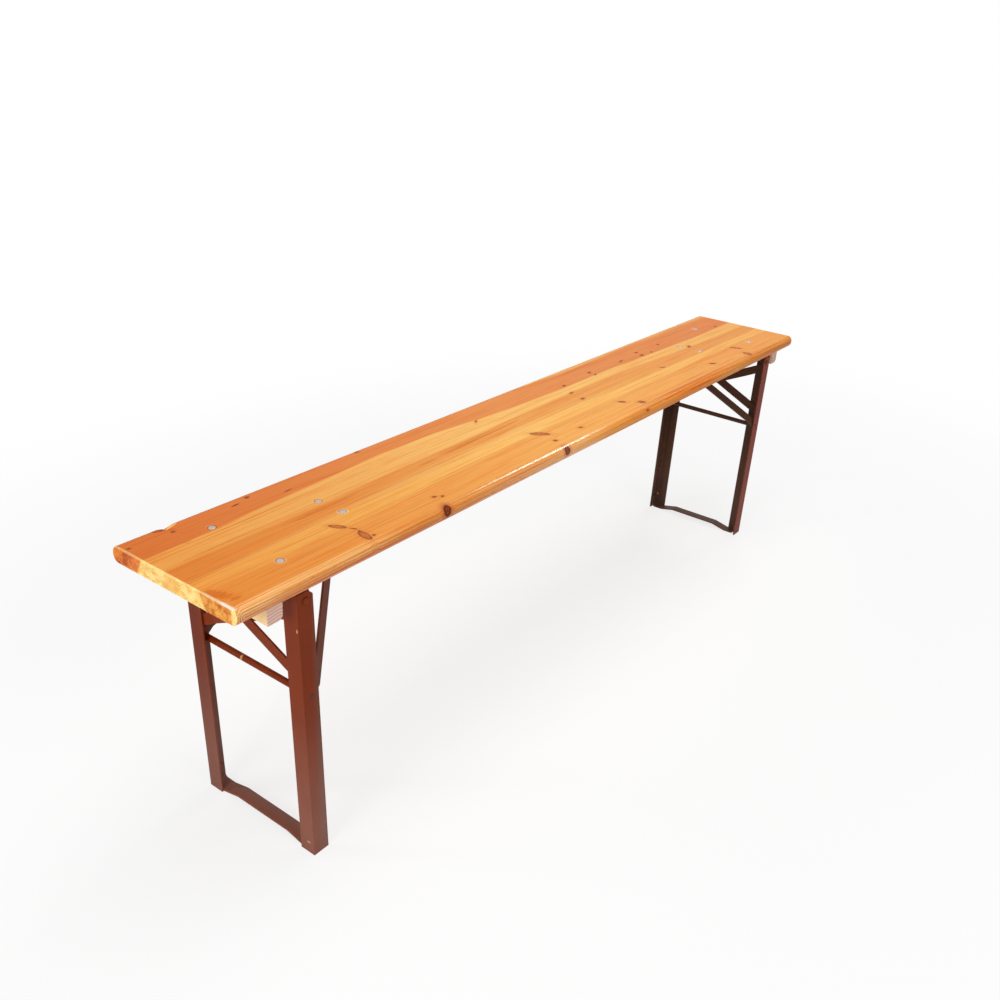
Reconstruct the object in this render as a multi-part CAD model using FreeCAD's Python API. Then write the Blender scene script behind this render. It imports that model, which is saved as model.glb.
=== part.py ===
import FreeCAD, Part
import math
import os

# Folding bench: a board of glued staves on two folding end frames of angle steel.
# Millimetres. X runs along the bench to the right end, Y to the back, Z up.
# The origin lies on the floor under the middle of the board.
# Each end frame turns on two rivets under the board. Its V-shaped stay turns on
# the frame's cross rod, and the pin at the V's tip snaps into a catch on the board.

# Board
LENGTH = 1650.0
BOARD_WIDTH = 250.0
SEAT_HEIGHT = 475.0
BOARD_THICKNESS = 25.0
LONG_EDGE_RADIUS = 11.0
END_EDGE_RADIUS = 2.5
STAVE_WIDTHS = (65.0, 33.0, 43.0, 44.0, 65.0)

# Torn place on the board's top back edge
TEAR_X = -752.0
TEAR_LENGTH = 40.0
TEAR_DEPTH = 3.6

# Battens of raw wood beside the frames
BATTEN_WIDTH = 25.0
BATTEN_HEIGHT = 27.0
BATTEN_LENGTH = 230.0
BATTEN_CENTRE = 757.5
BATTEN_ROUNDING = 8.0
BATTEN_SCREW_SPACING = 150.0
SCREW_HEAD = 8.0
SCREW_SHANK = 4.0
SCREW_LENGTH = 40.0

# End frames of angle steel
FRAME_WIDTH = 237.0
FLANGE = 28.0
STEEL = 3.0
ROOT_RADIUS = 3.0
TOE_RADIUS = 1.2
HINGE_X = 709.4
HINGE_Z = 435.5
HINGE_TO_OUTER_FACE = 15.0
LEG_ABOVE_HINGE = 13.0
TOP_CORNER_CUT = 7.2
LEG_LEAN = 1.9

# Cross rod and hinge rivets. A head is its diameter, its height, and the height and width
# of the bevel round its top.
HINGE_TO_ROD = 153.5
ROD_DIAMETER = 10.0
ROD_SPIGOT = 7.0
ROD_HEAD = (9.0, 1.2, 0.7, 1.2)
RIVET_DIAMETER = 6.0
RIVET_HEAD = (10.0, 2.4, 1.4, 2.2)
RUNNING_CLEARANCE = 0.05
SIDE_CLEARANCE = 0.3

# Crossed strips between the legs
BRACE_WIDTH = 18.0
BRACE_CROSSING_Z = 367.0
BRACE_SLOPE = 25.5
BRACE_REACH = 111.5
BRACE_CRANK_START = 86.0
BRACE_CRANK_END = 72.0
BRACE_RIVET = 6.0
BRACE_RIVET_HEAD = (11.0, 2.2, 1.4, 2.4)

# Strip between the feet
FOOT_STRIP_WIDTH = 22.0
FOOT_STRIP_LOW = 1.0
FOOT_STRIP_HIGH = 8.3
FOOT_STRIP_TAB = 29.0
FOOT_STRIP_BEND = 8.0
FOOT_RAMP_START = 88.0
FOOT_RAMP_END = 56.0

# Strap under the board that carries the hinge rivets
STRAP_WIDTH = 19.5
STRAP_BOLT_X = 706.0
STRAP_BOLT_Y = 69.0
STRAP_BEND = 4.5

# Bolts and rivets through the board
BOLT_DIAMETER = 6.0
BOLT_HEAD = (12.5, 2.6, 0.4, 0.8)
BOLT_HEAD_RECESS = 2.2
NUT_ACROSS = 10.0
NUT_HEIGHT = 5.0
BOLT_END = 2.0
CATCH_RIVET_X = 549.5
CATCH_RIVET_Y = 25.0

# Stay
STAY_TIP_X = 543.0
STAY_TIP_Z = 436.0
ARM_WIDTH = 15.5
ARM_THICKNESS = 4.0
ARM_EYE_Y = 113.0
ARM_TIP_Y = 2.0
ARM_BEND_START = 18.0
ARM_BEND_END = 211.0
ARM_BEND_RADIUS = 10.0
TIP_PIN_DIAMETER = 8.0
TIP_PIN_LENGTH = 34.0
TIP_PIN_CHAMFER = 1.0

# Catch under the board
CATCH_LENGTH = 42.0
CATCH_WIDTH = 76.0
CATCH_CORNER_RADIUS = 6.0
CATCH_START = 527.0
CATCH_CHEEK_INNER = 12.0
CATCH_CHEEK_LENGTH = 22.7
CATCH_CHEEK_CORNER_Z = 434.0
CATCH_JAW = 4.0
CATCH_JAW_CORNER = 2.5
CATCH_MOUTH_SLOPE = 18.0
CATCH_MOUTH_CLEARANCE = 0.3
SPRING_THICKNESS = 1.0
SPRING_WIDTH = 12.0
SPRING_HUMP = 4.2

Vec = FreeCAD.Vector
UNDERSIDE = SEAT_HEIGHT - BOARD_THICKNESS
HALF_WIDTH = BOARD_WIDTH / 2
HALF_FRAME = FRAME_WIDTH / 2
FLANGE_INNER_Y = HALF_FRAME - STEEL
OUTER_FACE_X = HINGE_X + HINGE_TO_OUTER_FACE
INNER_FACE_X = OUTER_FACE_X - STEEL
EAR_OUTER_Y = FLANGE_INNER_Y - SIDE_CLEARANCE
HINGE = Vec(HINGE_X, 0, HINGE_Z)
LEFT, RIGHT = -1, 1
ENDS = {"left": LEFT, "right": RIGHT}
SIDES = {"front": -1, "back": 1}


def box(x_range, y_range, z_range):
    """A block between the given limits."""
    size = [b - a for a, b in (x_range, y_range, z_range)]
    return Part.makeBox(*size, Vec(x_range[0], y_range[0], z_range[0]))


def cylinder_y(x, z, diameter, y_range):
    """A round bar along Y."""
    y0, y1 = y_range
    return Part.makeCylinder(diameter / 2, y1 - y0, Vec(x, y0, z), Vec(0, 1, 0))


def cylinder_z(x, y, diameter, z_range):
    """A round bar along Z."""
    z0, z1 = z_range
    return Part.makeCylinder(diameter / 2, z1 - z0, Vec(x, y, z0))


def side_range(side, inner, outer):
    """Limits in Y between two distances from the middle, on one side."""
    return tuple(sorted((side * inner, side * outer)))


def outline_xz(points, y_range):
    """A plate with a straight-edged outline in X and Z, between two limits in Y."""
    y0, y1 = y_range
    corners = [Vec(x, y0, z) for x, z in points]
    face = Part.Face(Part.makePolygon(corners + corners[:1]))
    return face.extrude(Vec(0, y1 - y0, 0))


def round_head(diameter, height, bevel_height, bevel_width):
    """A low head with a bevelled top that sits on z = 0, about the Z axis."""
    radius = diameter / 2
    rim = height - bevel_height
    bevel = Part.makeCone(radius, radius - bevel_width, bevel_height, Vec(0, 0, rim))
    return Part.makeCylinder(radius, rim).fuse(bevel).removeSplitter()


def bent_strip(path, thickness, bend_radius, width):
    """Flat bar bent along a path in X and Y, with its width along Z from 0.

    The path is the middle of the thickness, and bend_radius is measured there."""
    points = [Vec(x, y, 0) for x, y in path]
    stations = [(points[0], direction(points[0], points[1]))]
    bends = []
    for before, corner, after in zip(points, points[1:], points[2:]):
        way_in = direction(before, corner)
        way_out = direction(corner, after)
        turn = way_in.getAngle(way_out)
        tangent = bend_radius * math.tan(turn / 2)
        stations.append((corner - way_in * tangent, way_in))
        stations.append((corner + way_out * tangent, way_out))
        inward = (way_out - way_in).normalize()
        centre = corner + inward * (bend_radius / math.cos(turn / 2))
        bends.append((centre, -inward, math.copysign(1, way_in.cross(way_out).z)))
    stations.append((points[-1], direction(points[-2], points[-1])))
    left = strip_side(stations, bends, thickness / 2, bend_radius)
    right = strip_side(stations, bends, -thickness / 2, bend_radius)
    ends = [Part.makeLine(side_point(station, -thickness / 2), side_point(station, thickness / 2))
            for station in (stations[0], stations[-1])]
    wire = Part.Wire(Part.__sortEdges__(left + right + ends))
    return Part.Face(wire).extrude(Vec(0, 0, width))


def direction(start, end):
    """The unit vector from one point to another."""
    return (end - start).normalize()


def side_point(station, offset):
    """The point beside a station, to its left for a positive offset."""
    point, way = station
    return point + Vec(-way.y, way.x, 0) * offset


def strip_side(stations, bends, offset, bend_radius):
    """The edges along one face of a bent strip."""
    edges = []
    for index in range(0, len(stations), 2):
        start, end = stations[index], stations[index + 1]
        edges.append(Part.makeLine(side_point(start, offset), side_point(end, offset)))
        if index // 2 < len(bends):
            centre, outward, turn_side = bends[index // 2]
            radius = bend_radius - turn_side * offset
            after = side_point(stations[index + 2], offset)
            arc = Part.Arc(side_point(end, offset), centre + outward * radius, after)
            edges.append(arc.toShape())
    return edges


def path_in_yz(shape, x):
    """Turns a shape drawn in X and Y so that it lies in Y and Z, starting at the given X."""
    turned = shape.copy()
    turned.rotate(Vec(0, 0, 0), Vec(1, 1, 1), 120)
    turned.translate(Vec(x, 0, 0))
    return turned


def lean(shape):
    """Turns an upright end frame about its hinge so that its feet come in."""
    leaning = shape.copy()
    leaning.rotate(HINGE, Vec(0, 1, 0), LEG_LEAN)
    return leaning


# Board and what is fastened through it


def board():
    """The whole board: rounded long edges and slightly eased ends."""
    blank = box((-LENGTH / 2, LENGTH / 2), (-HALF_WIDTH, HALF_WIDTH), (UNDERSIDE, SEAT_HEIGHT))
    long_edges = []
    end_edges = []
    for edge in blank.Edges:
        extent = edge.BoundBox
        if extent.XLength > LENGTH / 2:
            long_edges.append(edge)
        elif extent.YLength > HALF_WIDTH:
            end_edges.append(edge)
    rounded = blank.makeFillet(LONG_EDGE_RADIUS, long_edges)
    return rounded.common(blank.makeFillet(END_EDGE_RADIUS, end_edges)).cut(tear())


def tear():
    """What a splinter took from the top back edge: a shallow hollow across the rounding."""
    radius = (TEAR_LENGTH ** 2 / 4 + TEAR_DEPTH ** 2) / (2 * TEAR_DEPTH)
    outward = Vec(0, 1, 1).normalize()
    rounding = Vec(TEAR_X, HALF_WIDTH - LONG_EDGE_RADIUS, SEAT_HEIGHT - LONG_EDGE_RADIUS)
    axis_point = rounding + outward * (LONG_EDGE_RADIUS - TEAR_DEPTH + radius)
    along = Vec(0, 1, -1).normalize()
    start = axis_point - along * TEAR_LENGTH
    return Part.makeCylinder(radius, 2 * TEAR_LENGTH, start, along)


def board_bolt_places():
    """X and Y of every bolt and rivet through the board, with its kind."""
    places = []
    for end, sign in ENDS.items():
        for side, y_sign in SIDES.items():
            places.append(("strap", end, side, sign * STRAP_BOLT_X, y_sign * STRAP_BOLT_Y))
            places.append(("catch", end, side, sign * CATCH_RIVET_X, y_sign * CATCH_RIVET_Y))
    return places


def bolt_holes():
    """Clearance for the shanks and the sunk heads of the board's bolts."""
    tools = []
    for _, _, _, x, y in board_bolt_places():
        tools.append(cylinder_z(x, y, BOLT_DIAMETER, (UNDERSIDE - 10, SEAT_HEIGHT)))
        recess = (SEAT_HEIGHT - BOLT_HEAD_RECESS, SEAT_HEIGHT + 1)
        tools.append(cylinder_z(x, y, BOLT_HEAD[0], recess))
    return tools


def screw_places():
    """X and Y of the screws that hold the battens."""
    return [(end, side, sign * BATTEN_CENTRE, y_sign * BATTEN_SCREW_SPACING / 2)
            for end, sign in ENDS.items() for side, y_sign in SIDES.items()]


def screw(x, y):
    """A countersunk wood screw, driven up through a batten into the board."""
    bottom = UNDERSIDE - BATTEN_HEIGHT
    head_height = (SCREW_HEAD - SCREW_SHANK) / 2
    head = Part.makeCone(SCREW_HEAD / 2, SCREW_SHANK / 2, head_height, Vec(x, y, bottom))
    shank = cylinder_z(x, y, SCREW_SHANK, (bottom + head_height, bottom + SCREW_LENGTH))
    return head.fuse(shank).removeSplitter()


def staves():
    """The board cut along its glue lines, from the front stave to the back one."""
    screws = [screw(x, y) for _, _, x, y in screw_places()]
    drilled = board().cut(bolt_holes() + screws)
    pieces = {}
    front = -HALF_WIDTH
    for number, width in enumerate(STAVE_WIDTHS, 1):
        slab = box((-LENGTH, LENGTH), (front, front + width), (UNDERSIDE - 1, SEAT_HEIGHT + 1))
        pieces[f"seat_stave_{number}"] = drilled.common(slab)
        front += width
    return pieces


def batten(sign):
    """A raw wood batten across the underside, with one lower edge rounded."""
    centre = sign * BATTEN_CENTRE
    blank = box((centre - BATTEN_WIDTH / 2, centre + BATTEN_WIDTH / 2),
                (-BATTEN_LENGTH / 2, BATTEN_LENGTH / 2), (UNDERSIDE - BATTEN_HEIGHT, UNDERSIDE))
    rounded_edges = [edge for edge in blank.Edges if edge.BoundBox.YLength > BATTEN_LENGTH / 2
                     and edge.BoundBox.ZMax < UNDERSIDE - 1 and edge.BoundBox.XMin > centre]
    rounded = blank.makeFillet(BATTEN_ROUNDING, rounded_edges)
    return rounded.cut([screw(x, y) for _, _, x, y in screw_places()])


def board_head(x, y):
    """The flat round head that is sunk into the board's top."""
    head = round_head(*BOLT_HEAD)
    head.translate(Vec(x, y, SEAT_HEIGHT - BOLT_HEAD_RECESS))
    return head


def strap_bolt(x, y):
    """A bolt with a flat round head, down through the board and the hinge strap."""
    end = UNDERSIDE - STEEL - NUT_HEIGHT - BOLT_END
    shank = cylinder_z(x, y, BOLT_DIAMETER, (end, SEAT_HEIGHT - BOLT_HEAD_RECESS))
    return board_head(x, y).fuse(shank).removeSplitter()


def strap_nut(x, y):
    """A hexagon nut against the hinge strap."""
    top = UNDERSIDE - STEEL
    radius = NUT_ACROSS / math.sqrt(3)
    corners = [Vec(x + radius * math.cos(math.radians(60 * k)),
                   y + radius * math.sin(math.radians(60 * k)), top) for k in range(6)]
    face = Part.Face(Part.makePolygon(corners + corners[:1]))
    nut = face.extrude(Vec(0, 0, -NUT_HEIGHT))
    return nut.cut(cylinder_z(x, y, BOLT_DIAMETER, (UNDERSIDE - 2 * NUT_HEIGHT, UNDERSIDE)))


def catch_rivet(x, y):
    """A rivet with a flat round head on the board and a formed head under the catch."""
    catch_bottom = UNDERSIDE - STEEL
    shank = cylinder_z(x, y, BOLT_DIAMETER, (catch_bottom, SEAT_HEIGHT - BOLT_HEAD_RECESS))
    formed = round_head(*RIVET_HEAD)
    formed.rotate(Vec(0, 0, 0), Vec(1, 0, 0), 180)
    formed.translate(Vec(x, y, catch_bottom))
    return board_head(x, y).fuse([shank, formed]).removeSplitter()


# Hinge strap and its rivets, drawn for the right end


def hinge_strap():
    """A strap bolted under the board, its ends bent down beside the legs as hinge ears."""
    ear_bottom = HINGE_Z - STRAP_WIDTH / 2
    middle_y = EAR_OUTER_Y - STEEL / 2
    top_z = UNDERSIDE - STEEL / 2
    path = [(-middle_y, ear_bottom), (-middle_y, top_z), (middle_y, top_z), (middle_y, ear_bottom)]
    strap = path_in_yz(bent_strip(path, STEEL, STRAP_BEND, STRAP_WIDTH), HINGE_X - STRAP_WIDTH / 2)
    reach = EAR_OUTER_Y + 1
    upper = box((0, LENGTH), (-reach, reach), (HINGE_Z, SEAT_HEIGHT))
    round_ends = cylinder_y(HINGE_X, HINGE_Z, STRAP_WIDTH, (-reach, reach))
    strap = strap.common(upper.fuse(round_ends))
    holes = [cylinder_y(HINGE_X, HINGE_Z, RIVET_DIAMETER, (-reach, reach))]
    bolt_range = (UNDERSIDE - 10, SEAT_HEIGHT)
    holes += [cylinder_z(STRAP_BOLT_X, y_sign * STRAP_BOLT_Y, BOLT_DIAMETER, bolt_range)
              for y_sign in SIDES.values()]
    return strap.cut(holes)


def hinge_rivet(side):
    """A rivet through the strap's ear and the leg, with a head on each side."""
    head_seat = HALF_FRAME + SIDE_CLEARANCE
    ear_inner = EAR_OUTER_Y - STEEL
    shank = cylinder_y(HINGE_X, HINGE_Z, RIVET_DIAMETER, side_range(side, ear_inner, head_seat))
    outer = head_on_side(RIVET_HEAD, side, HINGE_Z, head_seat)
    inner = head_on_side(RIVET_HEAD, -side, HINGE_Z, -ear_inner)
    return shank.fuse([outer, inner]).removeSplitter()


def head_on_side(sizes, side, z, distance):
    """A head in line with the hinge, its flat at a distance from the middle."""
    head = round_head(*sizes)
    head.rotate(Vec(0, 0, 0), Vec(1, 0, 0), -90 * side)
    head.translate(Vec(HINGE_X, side * distance, z))
    return head


# End frame, drawn upright for the right end


def angle_steel(side, bottom, top):
    """A length of angle steel along Z, with its corner out and away from the middle."""
    outer_x, inner_x, toe_x = OUTER_FACE_X, INNER_FACE_X, OUTER_FACE_X - FLANGE
    outer_y, inner_y, toe_y = HALF_FRAME, FLANGE_INNER_Y, HALF_FRAME - FLANGE
    points = [(outer_x, outer_y), (toe_x, outer_y), (toe_x, inner_y),
              (inner_x, inner_y), (inner_x, toe_y), (outer_x, toe_y)]
    corners = [Vec(x, side * y, bottom) for x, y in points]
    bar = Part.Face(Part.makePolygon(corners + corners[:1])).extrude(Vec(0, 0, top - bottom))
    bar = bar.makeFillet(ROOT_RADIUS, edges_at(bar, inner_x, side * inner_y))
    toes = edges_at(bar, toe_x, side * inner_y) + edges_at(bar, inner_x, side * toe_y)
    return bar.makeFillet(TOE_RADIUS, toes)


def edges_at(shape, x, y):
    """The upright edges of a shape at a place in X and Y."""
    found = []
    for edge in shape.Edges:
        extent = edge.BoundBox
        upright = extent.ZLength > 1 and extent.XLength < 0.01 and extent.YLength < 0.01
        if upright and abs(extent.XMin - x) < 0.01 and abs(extent.YMin - y) < 0.01:
            found.append(edge)
    return found


def leg(side):
    """An angle steel leg: its top inner corner is cut so that it clears the board."""
    top = HINGE_Z + LEG_ABOVE_HINGE
    bar = angle_steel(side, -20.0, top)
    toe = OUTER_FACE_X - FLANGE
    across = side_range(side, 0, HALF_FRAME + 1)
    corner = outline_xz([(toe - 1, top + 1), (toe - 1, top - TOP_CORNER_CUT - 1),
                         (toe + TOP_CORNER_CUT + 1, top + 1)], across)
    rivet_hole = cylinder_y(HINGE_X, HINGE_Z, RIVET_DIAMETER + 2 * RUNNING_CLEARANCE, across)
    rod_hole = cylinder_y(HINGE_X, HINGE_Z - HINGE_TO_ROD, ROD_SPIGOT, across)
    return above_floor(lean(bar.cut([corner, rivet_hole, rod_hole])))


def above_floor(shape):
    """What lies above the floor."""
    return shape.common(box((0, LENGTH), (-BOARD_WIDTH, BOARD_WIDTH), (0, SEAT_HEIGHT)))


def cross_rod():
    """The rod between the legs: its thin ends pass through them and are riveted over."""
    z = HINGE_Z - HINGE_TO_ROD
    rod = cylinder_y(HINGE_X, z, ROD_DIAMETER, (-FLANGE_INNER_Y, FLANGE_INNER_Y))
    spigots = cylinder_y(HINGE_X, z, ROD_SPIGOT, (-HALF_FRAME, HALF_FRAME))
    heads = [head_on_side(ROD_HEAD, side, z, HALF_FRAME) for side in SIDES.values()]
    return lean(rod.fuse([spigots] + heads).removeSplitter())


def brace(rising_side, layer):
    """A flat strip between the legs that rises to one side.

    Layer 0 lies flat on the legs' end flanges. Layer 1 is cranked to pass over it."""
    slope = math.radians(BRACE_SLOPE)
    seat = STEEL / 2
    raised = seat + layer * STEEL
    stretch = 1 / math.cos(slope)
    ends = [-BRACE_REACH - 20, -BRACE_CRANK_START, -BRACE_CRANK_END]
    ends += [-y for y in reversed(ends)]
    heights = [seat, seat, raised, raised, seat, seat]
    if layer == 0:
        ends, heights = ends[::5], heights[::5]
    path = [(y * stretch, height) for y, height in zip(ends, heights)]
    strip = bent_strip(path, STEEL, 2 * STEEL, BRACE_WIDTH)
    strip.translate(Vec(0, 0, -BRACE_WIDTH / 2))
    turn = FreeCAD.Matrix(0, -1, 0, 0, 1, 0, 0, 0, 0, 0, 1, 0, 0, 0, 0, 1)
    strip = strip.transformShape(turn)
    strip.rotate(Vec(0, 0, 0), Vec(1, 0, 0), rising_side * BRACE_SLOPE)
    strip.translate(Vec(INNER_FACE_X, 0, BRACE_CROSSING_Z))
    trim = box((0, LENGTH), (-BRACE_REACH, BRACE_REACH), (0, SEAT_HEIGHT))
    return lean(strip.common(trim).cut(brace_rivet_shank()))


def brace_rivet_shank():
    """The shank of the rivet where the strips cross."""
    start = Vec(INNER_FACE_X - 2 * STEEL, 0, BRACE_CROSSING_Z)
    return Part.makeCylinder(BRACE_RIVET / 2, 2 * STEEL, start, Vec(1, 0, 0))


def brace_rivet():
    """The rivet where the two strips cross, with a head on each side."""
    heads = []
    for turn, x in ((-90, INNER_FACE_X - 2 * STEEL), (90, INNER_FACE_X)):
        head = round_head(*BRACE_RIVET_HEAD)
        head.rotate(Vec(0, 0, 0), Vec(0, 1, 0), turn)
        head.translate(Vec(x, 0, BRACE_CROSSING_Z))
        heads.append(head)
    return lean(brace_rivet_shank().fuse(heads).removeSplitter())


def foot_strip():
    """A strip between the feet: its ends are turned up on the legs and its middle is raised."""
    end_y = FLANGE_INNER_Y - STEEL / 2
    low = FOOT_STRIP_LOW + STEEL / 2
    high = FOOT_STRIP_HIGH + STEEL / 2
    half = [(end_y, FOOT_STRIP_TAB), (end_y, low), (FOOT_RAMP_START, low), (FOOT_RAMP_END, high)]
    path = [(-y, z) for y, z in half] + [(y, z) for y, z in reversed(half)]
    strip = bent_strip(path, STEEL, FOOT_STRIP_BEND, FOOT_STRIP_WIDTH)
    strip = path_in_yz(strip, INNER_FACE_X - FOOT_STRIP_WIDTH)
    legs = [angle_steel(side, -1.0, 2 * FOOT_STRIP_TAB) for side in SIDES.values()]
    return lean(strip.cut(legs))


# Stay and catch, drawn for the right end


def rod_centre():
    """X and Z of the cross rod once the frame leans."""
    angle = math.radians(LEG_LEAN)
    return (HINGE_X - HINGE_TO_ROD * math.sin(angle), HINGE_Z - HINGE_TO_ROD * math.cos(angle))


def stay_length():
    """From the cross rod to the pin at the stay's tip."""
    x, z = rod_centre()
    return math.hypot(STAY_TIP_X - x, STAY_TIP_Z - z)


def place_on_stay(shape):
    """Moves a shape drawn along X from the rod to the stay's real place."""
    x, z = rod_centre()
    placed = shape.copy()
    rise = math.degrees(math.atan2(STAY_TIP_Z - z, STAY_TIP_X - x))
    placed.rotate(Vec(0, 0, 0), Vec(0, 1, 0), -rise)
    placed.translate(Vec(x, 0, z))
    return placed


def stay_arm(side):
    """A flat bar on edge with an eye on the rod, bent in towards the middle."""
    length = stay_length()
    tail = ARM_WIDTH / 2
    path = [(-tail - 1, ARM_EYE_Y), (ARM_BEND_START, ARM_EYE_Y),
            (ARM_BEND_END, ARM_TIP_Y), (length + tail + 1, ARM_TIP_Y)]
    arm = bent_strip([(s, side * y) for s, y in path], ARM_THICKNESS, ARM_BEND_RADIUS, ARM_WIDTH)
    arm.translate(Vec(0, 0, -ARM_WIDTH / 2))
    across = (-HALF_WIDTH, HALF_WIDTH)
    ends = [cylinder_y(s, 0, ARM_WIDTH, across) for s in (0, length)]
    middle = box((0, length), across, (-ARM_WIDTH, ARM_WIDTH))
    arm = arm.common(middle.fuse(ends))
    eye = cylinder_y(0, 0, ROD_DIAMETER + 2 * RUNNING_CLEARANCE, across)
    pin_hole = cylinder_y(length, 0, TIP_PIN_DIAMETER, across)
    return place_on_stay(arm.cut([eye, pin_hole]))


def tip_pin():
    """The pin through both arms at the stay's tip, which the catch holds."""
    half = TIP_PIN_LENGTH / 2
    pin = cylinder_y(stay_length(), 0, TIP_PIN_DIAMETER, (-half, half))
    rims = [edge for edge in pin.Edges if edge.BoundBox.YLength < 0.01]
    return place_on_stay(pin.makeChamfer(TIP_PIN_CHAMFER, rims))


def catch_bracket():
    """A riveted plate with two cheeks, each with a mouth that opens to the bench's middle."""
    plate = box((CATCH_START, CATCH_START + CATCH_LENGTH),
                (-CATCH_WIDTH / 2, CATCH_WIDTH / 2), (UNDERSIDE - STEEL, UNDERSIDE))
    corners = [edge for edge in plate.Edges if edge.BoundBox.ZLength > 1]
    plate = plate.makeFillet(CATCH_CORNER_RADIUS, corners)
    top = UNDERSIDE - STEEL
    cheek_end = CATCH_START + CATCH_CHEEK_LENGTH
    outline = [(CATCH_START, top), (cheek_end, top), (cheek_end, CATCH_CHEEK_CORNER_Z),
               (STAY_TIP_X + CATCH_JAW_CORNER, jaw_bottom(STAY_TIP_X + CATCH_JAW_CORNER)),
               (CATCH_START, jaw_bottom(CATCH_START))]
    cheeks = [outline_xz(outline, side_range(side, CATCH_CHEEK_INNER, CATCH_CHEEK_INNER + STEEL))
              for side in SIDES.values()]
    bracket = plate.fuse(cheeks).removeSplitter()
    holes = [cylinder_z(CATCH_RIVET_X, side * CATCH_RIVET_Y, BOLT_DIAMETER, (top - 10, SEAT_HEIGHT))
             for side in SIDES.values()]
    return bracket.cut(holes + [catch_mouth()])


def mouth_width():
    """The width of the slot for the stay's pin."""
    return TIP_PIN_DIAMETER + 2 * CATCH_MOUTH_CLEARANCE


def jaw_bottom(x):
    """Height of the cheeks' lower edge, which runs along the mouth."""
    slope = math.radians(CATCH_MOUTH_SLOPE)
    below_pin = (mouth_width() / 2 + CATCH_JAW) / math.cos(slope)
    return STAY_TIP_Z + (x - STAY_TIP_X) * math.tan(slope) - below_pin


def catch_mouth():
    """The slot that the stay's pin slides out of, square to the cheeks."""
    width = mouth_width()
    across = (-CATCH_WIDTH, CATCH_WIDTH)
    seat = cylinder_y(0, 0, width, across)
    slot = box((-60, 0), across, (-width / 2, width / 2))
    mouth = seat.fuse(slot)
    mouth.rotate(Vec(0, 0, 0), Vec(0, 1, 0), -CATCH_MOUTH_SLOPE)
    mouth.translate(Vec(STAY_TIP_X, 0, STAY_TIP_Z))
    return mouth


def catch_spring():
    """A spring leaf under the plate, with a hump that holds the stay's tip in the catch."""
    top = UNDERSIDE - STEEL - SPRING_THICKNESS / 2
    path = [(CATCH_START + CATCH_LENGTH - 3, top), (CATCH_START + 9, top),
            (CATCH_START + 4, top - SPRING_HUMP), (CATCH_START - 6, top - SPRING_HUMP / 3)]
    leaf = bent_strip(path, SPRING_THICKNESS, 1.5, SPRING_WIDTH)
    leaf.rotate(Vec(0, 0, 0), Vec(1, 0, 0), 90)
    leaf.translate(Vec(0, SPRING_WIDTH / 2, 0))
    return leaf


def sub_parts():
    """Every piece of the bench, under its name."""
    pieces = staves()
    for end, side, x, y in screw_places():
        pieces[f"batten_screw_{end}_{side}"] = screw(x, y)
    for kind, end, side, x, y in board_bolt_places():
        if kind == "strap":
            pieces[f"strap_bolt_{end}_{side}"] = strap_bolt(x, y)
            pieces[f"strap_nut_{end}_{side}"] = strap_nut(x, y)
        else:
            pieces[f"catch_rivet_{end}_{side}"] = catch_rivet(x, y)
    drawn = {
        "hinge_strap": hinge_strap(),
        "catch_bracket": catch_bracket(),
        "catch_spring": catch_spring(),
        "cross_rod": cross_rod(),
        "foot_strip": foot_strip(),
        "brace_inner": brace(-1, 1),
        "brace_outer": brace(1, 0),
        "brace_rivet": brace_rivet(),
        "stay_tip_pin": tip_pin(),
    }
    for side, y_sign in SIDES.items():
        drawn[f"hinge_rivet_{side}"] = hinge_rivet(y_sign)
        drawn[f"leg_{side}"] = leg(y_sign)
        drawn[f"stay_arm_{side}"] = stay_arm(y_sign)
    for end, sign in ENDS.items():
        pieces[f"batten_{end}"] = batten(sign)
        for name, shape in drawn.items():
            placed = shape if sign == RIGHT else shape.mirror(Vec(0, 0, 0), Vec(1, 0, 0))
            pieces[f"{name}_{end}"] = placed
    return pieces


def main():
    os.makedirs("parts", exist_ok=True)
    for name, shape in sub_parts().items():
        if len(shape.Solids) != 1 or not shape.isValid():
            raise ValueError(f"{name} is not one valid solid")
        shape.Solids[0].exportStep(f"parts/{name}.step")


main()
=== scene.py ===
"""Looks of the folding bench: a varnished pine board on two folding frames of brown steel."""
import math

import bmesh
import bpy
from mathutils import Matrix, Vector, noise


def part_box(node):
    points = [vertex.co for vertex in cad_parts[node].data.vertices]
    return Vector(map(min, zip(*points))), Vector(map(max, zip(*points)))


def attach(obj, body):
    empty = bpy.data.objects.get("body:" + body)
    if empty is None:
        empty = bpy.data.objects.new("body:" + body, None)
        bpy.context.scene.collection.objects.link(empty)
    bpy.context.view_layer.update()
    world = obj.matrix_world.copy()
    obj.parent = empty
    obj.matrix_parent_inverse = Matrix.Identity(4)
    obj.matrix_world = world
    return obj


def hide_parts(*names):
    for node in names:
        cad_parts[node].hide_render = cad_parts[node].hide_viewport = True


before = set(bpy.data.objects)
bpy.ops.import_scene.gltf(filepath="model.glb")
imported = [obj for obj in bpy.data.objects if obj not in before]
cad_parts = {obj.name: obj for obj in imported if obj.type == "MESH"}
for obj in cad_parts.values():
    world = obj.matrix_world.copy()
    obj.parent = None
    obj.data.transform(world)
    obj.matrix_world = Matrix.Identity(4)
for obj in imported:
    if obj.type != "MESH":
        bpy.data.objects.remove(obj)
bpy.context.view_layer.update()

ENDS = {"left": -1, "right": 1}
SIDES = {"front": -1, "back": 1}

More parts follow.
